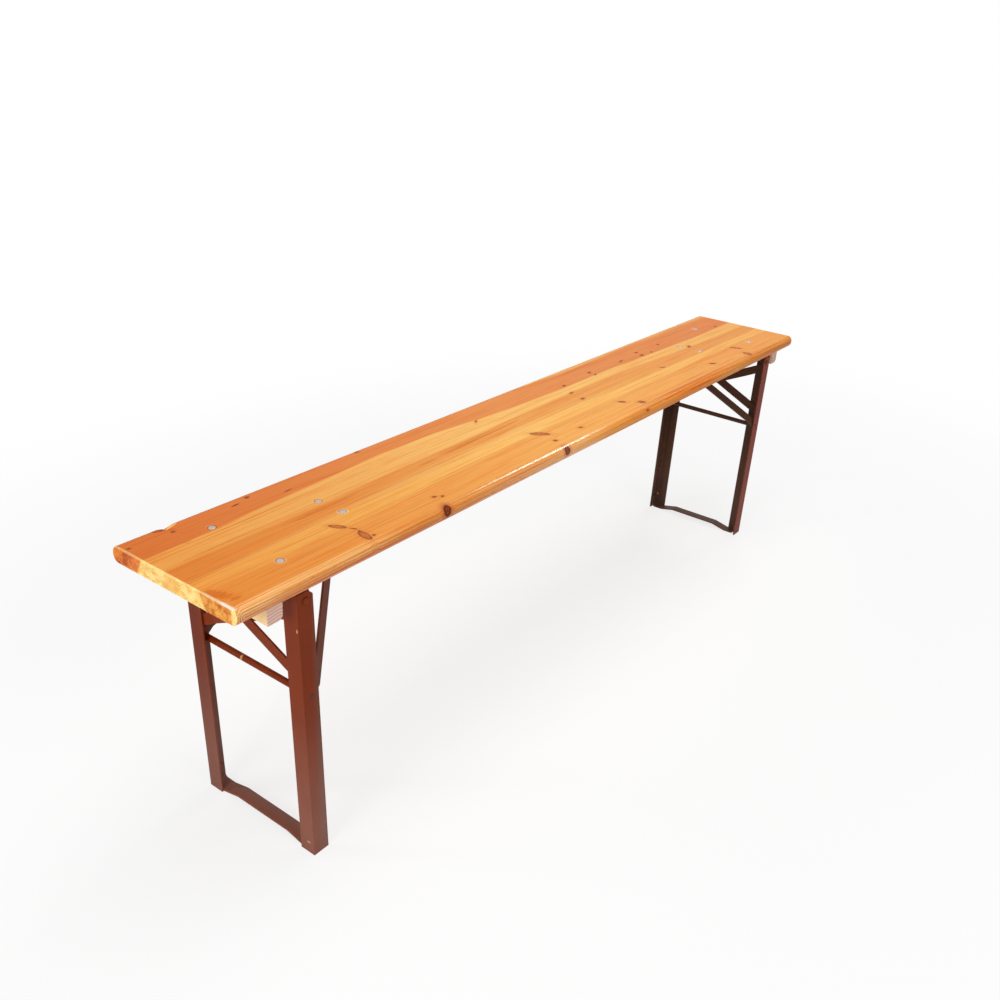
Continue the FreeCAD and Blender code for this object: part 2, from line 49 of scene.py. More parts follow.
# Lengths are in millimetres, but for the camera, the lamps and the floor. First the board:
BOARD_TOP = 475
BOARD_LENGTH = 1650
BOARD_WIDTH = 250
BOARD_THICKNESS = 25
BOARD_END = BOARD_LENGTH / 2
BOARD_EDGE = BOARD_WIDTH / 2
BOARD_UNDER = BOARD_TOP - BOARD_THICKNESS
LONG_EDGE_RADIUS = 11
END_EDGE_RADIUS = 2.2
STAVE_EDGES = (-125, -60, -27, 16, 60, 125)
FRONT_STAVE, BACK_STAVE = 1, 5

WHITE = (1, 1, 1, 1)


def colour(shade):
    """Turns three numbers from 0 to 255, a colour as a screen shows it, into Blender's four.

    A wire, or a tint that has four numbers already, stays as it is."""
    if not isinstance(shade, tuple) or len(shade) != 3:
        return shade
    parts = [part / 255 for part in shade]
    return (*(part / 12.92 if part <= 0.04045 else ((part + 0.055) / 1.055) ** 2.4
              for part in parts), 1)


class Wire:
    """A value on its way through a material. Sums written with it add the Math nodes."""

    def __init__(self, finish, socket):
        self.finish = finish
        self.socket = socket

    def math(self, operation, *values):
        return self.finish.node("Math", {"operation": operation}, dict(enumerate(values)))

    def __add__(self, other):
        return self.math("ADD", self, other)

    def __radd__(self, other):
        return self.math("ADD", other, self)

    def __sub__(self, other):
        return self.math("SUBTRACT", self, other)

    def __rsub__(self, other):
        return self.math("SUBTRACT", other, self)

    def __mul__(self, other):
        return self.math("MULTIPLY", self, other)

    def __rmul__(self, other):
        return self.math("MULTIPLY", other, self)

    def __truediv__(self, other):
        return self.math("DIVIDE", self, other)

    def __rtruediv__(self, other):
        return self.math("DIVIDE", other, self)

    def root(self):
        return self.math("SQRT", self)

    def size(self):
        return self.math("ABSOLUTE", self)

    def part(self):
        """What is left of a number after its whole part."""
        return self.math("FRACT", self)

    def whole(self):
        return self.math("FLOOR", self)

    def least(self, other):
        return self.math("MINIMUM", self, other)

    def most(self, other):
        return self.math("MAXIMUM", self, other)

    def held(self):
        """Held between 0 and 1."""
        return self.most(0).least(1)

    def fade(self, start, end, low=0, high=1):
        """Goes softly from low at start to high at end, and stays level outside them."""
        return self.finish.node(
            "MapRange", {"interpolation_type": "SMOOTHSTEP"},
            {0: self, 1: start, 2: end, 3: low, 4: high})

    def ramp(self, *stops):
        stops = [(place, colour(shade)) for place, shade in stops]
        return self.finish.node("ValToRGB", {"stops": stops}, {0: self})


def as_mesh(name, shape):
    """Turns a shape into a mesh, and lets the shape go."""
    mesh = bpy.data.meshes.new(name)
    shape.to_mesh(mesh)
    shape.free()
    return mesh


def add_object(name, data):
    made = bpy.data.objects.new(name, data)
    bpy.context.scene.collection.objects.link(made)
    return made


class Finish:
    """The nodes of one material, or of the world."""

    def __init__(self, owner):
        owner.use_nodes = True
        self.owner = owner
        self.tree = owner.node_tree
        self.tree.nodes.clear()

    def node(self, kind, settings=None, inputs=None, output=0):
        """Any shader node: its kind, its settings, then the values or wires of its sockets."""
        made = self.tree.nodes.new("ShaderNode" + kind)
        for key, value in (settings or {}).items():
            if key == "stops":
                ramp = made.color_ramp
                for place, shade in value[1:-1]:
                    ramp.elements.new(place).color = shade
                ends = (ramp.elements[0], ramp.elements[-1])
                for element, (place, shade) in zip(ends, (value[0], value[-1])):
                    element.position = place
                    element.color = shade
            elif key == "curve":
                line = made.mapping.curves[0]
                line.points[0].location = value[0]
                line.points[-1].location = value[-1]
                for place in value[1:-1]:
                    line.points.new(*place)
                made.mapping.update()
            else:
                setattr(made, key, value)
        for key, value in (inputs or {}).items():
            if isinstance(value, Wire):
                self.tree.links.new(value.socket, made.inputs[key])
            else:
                made.inputs[key].default_value = value
        return Wire(self, made.outputs[output]) if len(made.outputs) else None

    def vector(self, operation, *values, output=0, **named):
        """One step of vector arithmetic: what to do, and the values or wires that go in."""
        inputs = {**dict(enumerate(values)), **named}
        return self.node("VectorMath", {"operation": operation}, inputs, output)

    def millimetres(self):
        """The place on the object in millimetres, as one vector."""
        return self.vector("SCALE", self.node("TexCoord", output="Object"), Scale=1000)

    def split(self, vector):
        """The X, Y and Z of a vector."""
        first = self.node("SeparateXYZ", None, {0: vector})
        return [Wire(self, output) for output in first.socket.node.outputs]

    def join(self, x, y, z):
        return self.node("CombineXYZ", None, {0: x, 1: y, 2: z})

    def moved(self, place, way):
        return self.vector("ADD", place, way)

    def noise(self, place, size, detail=2, roughness=0.5):
        """Noise from about -1 to 1 whose lumps have that size along X, Y and Z."""
        per_lump = tuple(1 / length for length in size)
        place = self.vector("MULTIPLY", place, per_lump)
        value = self.node("TexNoise", None,
                          {"Vector": place, "Scale": 1, "Detail": detail, "Roughness": roughness})
        return value * 2 - 1

    def mix(self, share, first, second, how="MIX"):
        return self.node("Mix", {"data_type": "RGBA", "blend_type": how},
                         {0: share, 6: colour(first), 7: colour(second)}, output=2)

    def layers(self, shade, *layers):
        """A colour with others laid over it one by one, each given as its share and itself."""
        for share, over in layers:
            shade = self.mix(share, shade, over)
        return shade

    def times(self, shade, tint):
        return self.mix(1, shade, tint, "MULTIPLY")

    def tinted(self, share, shade, tint):
        """A colour that is multiplied by a tint as far as the share says."""
        return self.mix(share, shade, self.times(shade, tint))

    def toned(self, shade, tone):
        """A colour made lighter or darker."""
        return self.times(shade, self.join(tone, tone, tone))

    def bump(self, height, distance, strength=1):
        """height is 0 to 1, and distance what 1 stands for, in metres."""
        return self.node("Bump", None,
                         {"Height": height, "Distance": distance, "Strength": strength})

    def surface(self, **sockets):
        """Ends the material in one shader. Socket names are written with _ for a space."""
        inputs = {name.replace("_", " "): value for name, value in sockets.items()}
        shader = self.node("BsdfPrincipled", None, inputs)
        self.node("OutputMaterial", None, {"Surface": shader})
        return self.owner


def new_finish(name):
    """The nodes of a new material."""
    return Finish(bpy.data.materials.new(name))


def distance(across, along):
    """How far off a place is that lies so far across and so far along."""
    return (across * across + along * along).root()


def nearest(distances):
    """The least of several distances, or None where there are none."""
    found = None
    for far in distances:
        found = far if found is None else found.least(far)
    return found


# Bands of colour that run the length of the board, from the back to the front. Each has its colour,
# and then the line where the next band starts: places (X, Y), how far that line leans back per
# millimetre of depth, and how soft it is.
BANDS = (
    ((240, 180, 100),
     ((-825, 125), (0, 125), (50, 117), (150, 110), (280, 107), (465, 111), (565, 108), (825, 105)),
     0.2, 2),
    ((229, 144, 74),
     ((-825, 58), (-700, 63), (-525, 72), (-325, 81), (-213, 75), (-97, 63), (20, 55), (280, 51),
      (400, 46), (600, 39), (700, 37), (825, 40)),
     0.5, 1.6),
    ((248, 196, 112),
     ((-825, 15), (-540, 15), (-400, 19), (-180, 21), (0, 27), (280, 25), (465, 14), (665, 5),
      (825, 2)),
     0, 1.8),
    ((236, 164, 80),
     ((-825, -30), (-600, -22), (-400, -12), (-265, -8), (-50, -12), (200, -20), (500, -26),
      (825, -28)),
     1.5, 5),
    ((243, 184, 102),
     ((-825, -37), (-700, -32), (-600, -29), (-400, -25), (0, -22), (280, -27), (465, -32),
      (825, -33)),
     1.5, 2.2),
    ((250, 196, 106),
     ((-825, -63), (-700, -64), (-490, -62), (-400, -57), (-265, -52), (-100, -48), (100, -49),
      (280, -53), (600, -52), (825, -60)),
     -0.5, 2),
    ((242, 174, 88), None, 0, 1),
)

# The middle of the board is paler, a painted sheen, and the colour deeper towards its ends: what is
# left of red, green and blue there
LEFT_SHEEN_FADE = (0.86, 0.63, 0.46, 1)
RIGHT_SHEEN_FADE = (0.92, 0.8, 0.62, 1)

# Where the middle of the tree lay for each stave, front to back: Y, and depth under the top
PITHS = ((30, -105), (60, 90), (-90, 100), (140, 80), (-10, 90))
# How wide its rings are, and how strongly they show
RING_WIDTHS = (3, 2.3, 3.2, 2.5, 3.4)
RING_SHOW = (0.5, 0.55, 0.5, 0.55, 0.28)

# Tints: what is left of red, green and blue in the late wood of a ring, along the front edge, in
# the dark lines and in the painted shade on the back edge, in flames and streaks, and where an end
# soaked up the stain
LATE_WOOD_TINT = (0.76, 0.48, 0.22, 1)
FRONT_EDGE_TINT = (1, 0.72, 0.46, 1)
EDGE_LINE_TINT = (0.64, 0.3, 0.13, 1)
BACK_EDGE_SHADE_TINT = (0.55, 0.34, 0.22, 1)
FLAME_TINT = (0.84, 0.58, 0.34, 1)
STREAK_TINT = (0.74, 0.48, 0.34, 1)
SOAKED_TINT = (0.76, 0.46, 0.24, 1)

# Knots and marks in the wood: X, Y, depth under the top, half length, half width, half height, and
# turn in degrees. Round knots are dark with rings, leaf knots pale with a thin dark rim.
ROUND_KNOTS = ((-433, -125, 7, 7.6, 9, 9.5, 0), (-118, -124, 6.5, 6.8, 8, 8, 0))
LEAF_KNOTS = (
    (-588, -54, 0, 12.5, 4.6, 8, -59), (-581, -100, 0, 14, 6, 12, 79),
    (-103, -55, 0, 17, 6, 9, -48), (616, -108, 0, 10, 7.5, 12, 75), (636, -70, 0, 13, 5, 8, -63),
    (-763, 117, 1, 9, 6, 9, -50),
)
SMALL_KNOTS = (
    (-749, 97, 0, 4, 3.4, 9, 0), (-639, 101, 0, 9, 2.3, 6, 4), (-612, 109, 0, 4.4, 4.2, 9, 0),
    (-554, 84, 0, 9, 1.8, 5, 4), (-380, 115, 0, 6, 4, 14, 0), (-577, -74, 0, 7, 2, 5, -62),
    (-576, -85, 0, 3, 1.6, 4, 0), (-572, -108, 0, 3, 2.6, 5, 0), (-422, -88, 0, 4.5, 3.6, 9, -30),
    (-412, -96, 0, 3.6, 3, 8, 30), (-109, -92, 0, 5.2, 4.4, 10, -20),
    (-26, -89, 0, 5.5, 3.6, 9, -20), (142, -72, 0, 9, 4.8, 12, -50),
    (169, -100, 0, 8.5, 6.5, 12, -50), (152, -122, 6, 7, 4, 2.6, 0), (103, -8, 0, 6.5, 4, 9, 15),
    (115, 26, 0, 8, 2.6, 6, 5), (-135, 62, 0, 7, 2.3, 6, 30), (139, 60, 0, 6, 3.6, 10, 30),
    (245, 69, 0, 6.5, 4, 9, 30), (244, 54, 0, 5.5, 2.6, 8, 20), (360, 63, 0, 10, 2.6, 6, 10),
    (437, 71, 0, 6, 4, 9, 0), (430, 53, 0, 7.5, 4.6, 10, 20), (466, 50, 0, 6, 2.2, 7, 30),
    (526, 68, 0, 5, 3.4, 8, 0), (566, 11, 0, 8.5, 4.6, 9, 25), (491, -86, 0, 9, 5, 9, -30),
    (763, 45, 0, 8, 2.5, 5, 5), (-817, 98, 0, 4, 2.6, 8, 0), (-766, 118, 0, 7, 2.6, 6, -50),
    (-758, 112, 0, 6, 1.8, 6, -15), (388, -22, 0, 6.5, 3.4, 6, -40),
)
STREAKS = (
    (-440, 52, 0, 34, 1.6, 4, 0), (630, 1, 0, 36, 2, 4, 0), (400, -100, 0, 50, 2.2, 4, 0),
    (-650, 47, 0, 120, 1.1, 3, 0.3), (-655, 54, 0, 95, 0.9, 3, 0.6), (-350, 51, 0, 60, 1.2, 3, 0),
    (-560, -97, 0, 150, 1, 3, 0), (-480, -89, 0, 110, 1, 3, 0), (-330, -51, 0, 120, 1.1, 3, 1.2),
    (-20, -94, 0, 90, 1, 3, 0), (520, -102, 0, 40, 1.8, 3, 2), (-330, 4, 0, 26, 3, 4, 0),
    (-215, 13, 0, 95, 2.4, 4, 2.4), (-240, 8, 0, 60, 1.4, 4, 2.4), (-560, 6, 0, 130, 1.6, 4, 0.5),
    (-300, -14, 0, 160, 1.4, 4, 0.6), (-120, 40, 0, 140, 1.3, 4, -1),
    (150, 12, 0, 150, 1.6, 4, 0.5), (60, -66, 0, 120, 1.2, 4, 0.4), (330, -40, 0, 150, 1.3, 4, 0.3),
    (-690, -84, 0, 90, 1.4, 4, 0.6), (-757, 58, 0, 5, 1.8, 5, -60), (-751, 57, 0, 3.4, 1.4, 4, -60),
    (-520, 24, 0, 110, 1.2, 4, 0.4), (420, 30, 0, 130, 1.5, 4, -0.4), (620, 88, 0, 110, 1.5, 4, 0),
    (-250, 100, 0, 140, 1.3, 4, 0), (240, 100, 0, 120, 1.4, 4, 0.3), (-740, 20, 0, 70, 1.5, 4, 0.6),
)
# A deeper stain where the grain turns up at the left end
FLAMES = (
    (-816, -76, 0, 28, 9.5, 9, -64), (-758, 113, 0, 20, 5, 9, -42), (-560, 2, 0, 90, 2.6, 6, 0.6),
    (-190, 8, 0, 110, 2.8, 6, 2),
)

# How far outside a stave a mark may lie and still show in it
MARK_REACH = 14

# Bolts, rivets and screws in the board: their distances from its middle along X and Y
STRAP_BOLT = (706, 69)
CATCH_RIVET = (549.5, 25)
BATTEN_SCREW = (757.5, 75)
BOARD_HEADS = tuple((x, sign * y) for x, y in (STRAP_BOLT, CATCH_RIVET) for sign in (1, -1))
HEAD_RADIUS = 6.25
# The screws go up through the battens, from so far under the board
SCREW_HEAD_DOWN = 27
SCREW_LENGTH = 39

# The torn place on the top back edge
TEAR_X = -744
TEAR_LENGTH = 32
TEAR_DEPTH = 4.6
# The pale strip beside it: its middle's X, Y and Z, then half sizes and turn like a knot's
TEAR_STRIP = (-741, 112.2, BOARD_TOP, 13, 2.3, 5, 17)

# At the board's corners the lines along the front edge turn up, over this length, round this height
CORNER_LENGTH = 14
CORNER_HEIGHT = 460.5

# The tree's middle for the battens, as X and Z
BATTEN_PITH = (752, 372)

# End frames: the hinge's place and how far the frames lean in, in degrees
HINGE_X = 709.4
HINGE_Z = 435.5
HINGE_TO_ROD = 153.5
LEG_LEAN = 1.9
LEG_OUTER_Y = 118.5
STRAP_THICKNESS = 3
STRAP_UNDER = BOARD_UNDER - STRAP_THICKNESS


def spot_distance(finish, place, spots):
    """How far away the middle of the nearest spot is, 1 at that spot's rim."""
    distances = []
    for x, y, z, length, width, height, turn in spots:
        to_spot = finish.node(
            "Mapping", {"vector_type": "TEXTURE"},
            {"Vector": place, "Location": (x, y, z),
             "Rotation": (0, 0, math.radians(turn)), "Scale": (length, width, height)})
        distances.append(finish.vector("LENGTH", to_spot, output=1))
    return nearest(distances)


class Stave:
    """Amber varnished pine as one stave of the board has it. The staves count from the front."""

    def __init__(self, number):
        self.number = number
        self.front, self.back = STAVE_EDGES[number - 1], STAVE_EDGES[number]
        self.finish = finish = new_finish("varnished_pine_%d" % number)
        self.place = place = finish.millimetres()
        self.x, self.y, self.z = finish.split(place)
        self.depth = BOARD_TOP - self.z
        self.end = self.x.size().fade(BOARD_END - 2, BOARD_END - 1)
        self.ripple = finish.noise(place, (170, 24, 24))
        self.lump = finish.noise(place, (7, 3.6, 3.6), 2, 0.6)
        self.fibre = finish.noise(place, (24, 0.5, 0.5), 3, 0.65)
        self.streak = finish.noise(place, (190, 3, 3), 3, 0.6)
        self.cloud = finish.noise(place, (60, 22, 22))
        self.wave = finish.noise(place, (150, 7, 7))
        self.find_marks()
        self.grow_rings()

    def find_marks(self):
        """The distance to the nearest mark of each kind, where the stave has any."""
        wobble = self.finish.join(self.lump * 2.4, self.ripple * 1.2 + self.lump * 0.9, 0)
        self.rough_place = self.finish.moved(self.place, wobble)
        self.round_knot, self.leaf, self.small, self.line_mark, self.flame = (
            spot_distance(self.finish, self.rough_place, [
                (x, y, BOARD_TOP - down, length, width, height, turn)
                for x, y, down, length, width, height, turn in kind
                if self.front - MARK_REACH < y < self.back + MARK_REACH])
            for kind in (ROUND_KNOTS, LEAF_KNOTS, SMALL_KNOTS, STREAKS, FLAMES))
        knots = (self.round_knot, self.leaf, self.small)
        near = nearest(knot for knot in knots if knot is not None) + self.lump * 0.16
        self.knot = near.fade(1.16, 0.72)
        self.halo = near.fade(2.9, 0.9)

    def grow_rings(self):
        """Growth rings round the pith, pushed aside by the knots: late is 1 in their dark wood."""
        pith_y, pith_depth = PITHS[self.number - 1]
        sway = self.finish.noise(self.place, (900, 140, 140), 1)
        across = self.y - pith_y + sway * 12
        below = self.depth - pith_depth + sway * 9
        rings = distance(across, below) + self.ripple * 1.5 + self.halo * 4
        rings = rings / RING_WIDTHS[self.number - 1] + self.number * 7.3
        grown = rings.part()
        year = self.finish.node("TexWhiteNoise", {"noise_dimensions": "1D"},
                                {"W": rings.whole()})
        self.late = grown.fade(0.3, 0.92) * grown.fade(1, 0.93) * (year * 0.8 + 0.2)

    def band_colour(self):
        """The band's colour, with a painted sheen that makes the board paler in its middle."""
        along = (self.x + BOARD_END) / BOARD_LENGTH
        wander = self.ripple * 1.6 + self.streak * 3.6
        shade = BANDS[0][0]
        for (_, edge, lean, softness), (band, _, _, _) in zip(BANDS, BANDS[1:]):
            points = [((x + BOARD_END) / BOARD_LENGTH, (y + BOARD_EDGE) / BOARD_WIDTH)
                      for x, y in edge]
            curve = self.finish.node("FloatCurve", {"curve": points}, {"Value": along})
            line = curve * BOARD_WIDTH - BOARD_EDGE + self.depth * lean
            passed = (self.y - line + wander).fade(softness * 2, softness * -2)
            shade = self.finish.mix(passed, shade, band)
        # Painted sheen: the middle of the board stays paler, the ends deeper in colour
        stain = along.ramp((0, LEFT_SHEEN_FADE), (0.46, WHITE), (1, RIGHT_SHEEN_FADE))
        return self.finish.times(shade, stain)

    def ringed_wood(self):
        """The bands with their rings and grain, and with lines along the rounded front edge."""
        finish, x, y, z = self.finish, self.x, self.y, self.z
        wood = self.band_colour()
        front_rim = y.fade(-112, -118)
        far_part = x.fade(-100, 250) * x.fade(560, 380, 0.25, 1)
        wood = finish.tinted(y.fade(-113, -122) * far_part * 0.7, wood, FRONT_EDGE_TINT)
        upper = z.fade(461, 467)
        lit = front_rim * x.fade(-480, -640) * upper * 0.6
        wood = finish.mix(lit, wood, (254, 206, 134))
        shaded = front_rim * x.fade(-200, -500) * (1 - upper) * 0.6
        wood = finish.mix(shaded, wood, (222, 146, 102))

        show = RING_SHOW[self.number - 1]
        strong = front_rim * x.size().fade(60, 360, 0.55, 1)
        shown = self.late * (strong * (1.1 - show) + show)
        vein = finish.noise(self.place, (420, 1.3, 1.3)).fade(0.15, 0.5)
        darker = (shown * 0.9 + self.streak * 1.4 + self.wave * 0.6 + self.cloud * 0.14
                  + vein * 0.4 + 0.09).held()
        shade = finish.tinted(darker, wood, LATE_WOOD_TINT)

        past = (x.size() - (BOARD_END - CORNER_LENGTH)).most(0)
        bend = past * past * 0.045
        bent_place = finish.moved(self.rough_place, finish.join(0, bend, bend))
        edge_line = (finish.noise(bent_place, (300, 2.3, 2.3)).fade(0, 0.14)
                     * y.fade(far_part * 12 - 110, far_part * 8 - 119)
                     * x.size().fade(40, 300, 0.4, 1))
        shade = finish.mix(edge_line * (far_part * 0.35 + 0.4), shade,
                           finish.times(wood, EDGE_LINE_TINT))
        from_curl = z - CORNER_HEIGHT
        turns = ((past * past * 0.8 + from_curl * from_curl).root() / 3.4 + self.lump * 0.08).part()
        curl = turns.fade(0.35, 0.6) * turns.fade(1, 0.8)
        curl = curl * y.fade(-119, -122.5) * x.fade(-740, -785)
        shade = finish.mix(curl * 0.55, shade, (255, 214, 152))

        tone = self.fibre * 0.17 + self.streak * 0.25 + self.wave * 0.12 + 1.02
        shade = finish.toned(shade, tone)
        # Painted shade along the back edge where it rounds away from the light, deepest near the
        # left end
        back_rim_shade = y.fade(114.5, 119) * x.fade(-250, -600, 0.25, 0.85)
        return finish.tinted(back_rim_shade, shade, BACK_EDGE_SHADE_TINT)

    def marked(self, shade):
        """Streaks and flames of deeper colour, then the knots."""
        finish, lump = self.finish, self.lump
        if self.flame is not None:
            stain = (self.flame + self.streak * 1.1 + lump * 0.3).fade(1.1, 0.75) * 0.8
            shade = finish.tinted(stain, shade, FLAME_TINT)
        if self.line_mark is not None:
            shade = finish.tinted(self.line_mark.fade(1.3, 0.4) * 0.5, shade, STREAK_TINT)
        shade = finish.mix(self.halo * self.halo * 0.34, shade, (208, 112, 48))
        if self.small is not None:
            spot = self.small + lump * 0.2
            shade = finish.layers(shade, (spot.fade(1.15, 0.65) * 0.78, (142, 66, 38)),
                                  (spot.fade(0.75, 0.25) * 0.5, (96, 40, 24)))
        if self.leaf is not None:
            spot = self.leaf + lump * 0.14
            veined = (lump + self.fibre).fade(0, 0.45) * spot.fade(0.95, 0.7)
            outline = spot.fade(0.6, 0.88) * spot.fade(1.16, 0.96)
            shade = finish.layers(shade, (spot.fade(1.05, 0.8) * 0.7, (190, 98, 46)),
                                  (outline.most(veined) * 0.74, (118, 52, 32)))
        if self.round_knot is not None:
            spot = self.round_knot + lump * 0.1
            rings = spot.ramp((0, (176, 96, 48)), (0.16, (96, 36, 12)), (0.4, (146, 64, 26)),
                              (0.66, (84, 26, 8)), (1, (104, 38, 16)))
            shade = finish.layers(
                shade, ((spot + self.streak * 0.5).fade(2.3, 1) * 0.5, (176, 80, 28)),
                (spot.fade(1.18, 0.9) * 0.95, rings))
        return shade

    def jointed(self, shade):
        """Dark glue joints, and varnish that broke round the heads. Sets the surface's height."""
        finish, y = self.finish, self.y
        edge_near = (y - self.front).size().least((y - self.back).size())
        joint = edge_near.fade(0.45, 0.1) * y.size().fade(BOARD_EDGE - 1, BOARD_EDGE - 2)
        shade = finish.mix(joint * 0.3, shade, (124, 66, 28))
        self.height = self.late * 0.22 + self.fibre * 0.2 + self.knot * 0.3 - joint * 0.7
        from_head = nearest(
            distance(self.x.size() - head_x, y - head_y) - HEAD_RADIUS
            for head_x, head_y in BOARD_HEADS
            if self.front - HEAD_RADIUS < head_y < self.back + HEAD_RADIUS)
        if from_head is not None:
            at_top = self.depth.fade(4, 1)
            broken = (from_head.fade(3.4, 0.4) * self.cloud.fade(-0.25, 0.3)
                      * self.lump.fade(-0.5, 0.2) * at_top)
            # Darker round each head, out to a little past its rim
            dark_head_ring = from_head.fade(0.7, 0.1) * at_top
            shade = finish.layers(
                shade, (broken * 0.75, (252, 226, 186)), (dark_head_ring * 0.6, (92, 56, 34)))
            self.height = self.height - broken * 0.6
        return shade

    def end_grain(self, shade):
        """The end faces, which follow the bands of the top, and a painted highlight on the edge
        above.
        """
        finish, x, y, depth = self.finish, self.x, self.y, self.depth
        speckle = finish.noise(self.place, (2, 1, 1), 3, 0.7)
        blotch = finish.noise(self.place, (13, 13, 9), 3, 0.6)
        blotched = blotch.fade(-0.3, 0.3)
        pale = finish.mix(blotch.fade(-0.2, 0.35), (255, 230, 148), (246, 186, 82))
        pale = finish.mix((y - 2).size().fade(16, 7) * 0.6, pale, (244, 178, 84))
        red = finish.mix(blotched, (236, 134, 36), (176, 72, 8))
        red = finish.mix(y.fade(96, 78) * 0.45, red, (246, 142, 62))
        amber = finish.mix(blotched, (242, 172, 70), (200, 102, 28))
        in_back = (depth * 0.45 + 61 - y + blotch * 7).fade(3, -3)
        in_front = (y + 55 + depth * 0.5 + blotch * 6).fade(2, -2) * y.fade(-119, -114)
        wood = finish.mix(in_front, finish.mix(in_back, pale, red), amber)
        wood = finish.tinted((self.late * 0.62 + speckle * 0.6).held(), wood, SOAKED_TINT)
        wood = finish.mix(self.knot * 0.8, wood, (150, 70, 30))
        shade = finish.mix(self.end, shade, wood)

        # A painted highlight along the top edges of the ends, wider and whiter at the near end's
        # front
        near_glint = (y.fade(-58, -68) * 0.4 + y.fade(-90, -100) * 0.6) * x.fade(0, -1)
        edge_highlight = (x.size().fade(near_glint * -2.4 + (BOARD_END - 3), BOARD_END - 2)
                  * depth.fade(2.8, 1.2) * (speckle * 0.4 + 0.7))
        return finish.mix(edge_highlight * (near_glint * 0.42 + 0.5), shade,
                          finish.mix(near_glint, (255, 228, 154), (255, 250, 240)))

    def torn(self, shade):
        """Bare wood where the back edge is torn, and the pale strip beside it."""
        finish, y = self.finish, self.y
        from_axis = distance(y - (BOARD_EDGE - LONG_EDGE_RADIUS),
                             self.z - (BOARD_TOP - LONG_EDGE_RADIUS))
        splinter = finish.noise(self.place, (14, 0.8, 0.8), 3, 0.7)
        ragged = (self.x - TEAR_X).size() + splinter * 4
        bare = (from_axis.fade(LONG_EDGE_RADIUS - 0.25, LONG_EDGE_RADIUS - 0.55)
                * y.fade(110, 113)
                * ragged.fade(TEAR_LENGTH / 2 + 1, TEAR_LENGTH / 2 - 1.5))
        strip = spot_distance(finish, self.rough_place, [TEAR_STRIP])
        shade = finish.mix(strip.fade(1.1, 0.7) * 0.9, shade, (246, 188, 104))
        strand = finish.noise(self.place, (70, 0.9, 0.9), 2, 0.6)
        wood = finish.mix(strand.fade(-0.3, 0.4), (140, 76, 38), (222, 168, 104))
        self.height = self.height + bare * strand * 1.5
        return finish.mix(bare, shade, wood)

    def material(self):
        """The finished material, which is glossy along the near part of the front edge."""
        finish, x, y = self.finish, self.x, self.y
        shade = self.end_grain(self.jointed(self.marked(self.ringed_wood())))
        if self.number == BACK_STAVE:
            shade = self.torn(shade)
        orange_peel = finish.noise(self.place, (16, 8, 8))
        glint = finish.noise(self.place, (4.5, 3, 3), 2, 0.6)
        glossy = (y.fade(-113, -119) * x.fade(40, -90, 0.04, 1)
                  * x.fade(-430, -250, 0.25, 1) * glint.fade(-0.3, 0.05, 0.3, 1)
                  + x.size().fade(BOARD_END - 2.7, BOARD_END - 1.8) * 0.22)
        return finish.surface(
            Base_Color=shade,
            Roughness=(self.fibre * 0.05 + self.streak * 0.04 + self.end * 0.12
                       + self.knot * 0.08 + 0.34).most(0.2),
            IOR=1.45,
            Specular_IOR_Level=0.05,
            Coat_Weight=glossy.least(1) * (1 - self.knot * 0.6),
            Coat_Roughness=0.13,
            Normal=finish.bump(self.height * 0.5 + orange_peel * 0.3, 0.00014))


def raw_pine():
    """Sawn pine without varnish: pale yellow along the grain, pinker with its rings at the ends."""
    finish = new_finish("raw_pine")
    place = finish.millimetres()
    x, y, z = finish.split(place)
    batten_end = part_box("batten_left")[1][1] * 1000
    end = y.size().fade(batten_end - 1.6, batten_end - 0.5)
    ripple = finish.noise(place, (16, 90, 16))
    rings = (distance(x.size() - BATTEN_PITH[0], z - BATTEN_PITH[1]) + ripple * 2.2) / 4.6
    grown = rings.part()
    late = grown.fade(0.25, 0.85) * grown.fade(1, 0.9)
    fibre = finish.noise(place, (0.7, 22, 0.7), 3, 0.6)
    saw = finish.noise(place, (60, 1.6, 60), 1)
    along = finish.mix(ripple * 0.5 + 0.5, (255, 232, 178), (246, 214, 158))
    base = finish.mix(end, along, (236, 198, 180))
    shade = finish.mix(late * (end * 0.25 + 0.25), base,
                       finish.mix(end, (222, 168, 116), (164, 106, 88)))
    return finish.surface(
        Base_Color=finish.toned(shade, 1 + fibre * 0.07 + saw * 0.03),
        Roughness=fibre * 0.06 + 0.72,
        Normal=finish.bump(fibre * 0.4 + saw * 0.3 + late * 0.3, 0.0002))


# Where the paint was knocked off down to the primer: X, Y, Z, half lengths, and turn
PAINT_MARKS = (
    (-723, -115.2, 393, 2.4, 1.6, 3.2, 0), (-708.8, 22.1, 284.2, 5, 2.2, 5, 0),
    (707.6, 113.9, 29, 4, 3.4, 2.4, 0), (-710.6, -108, 20.1, 3, 4, 2, 0),
)


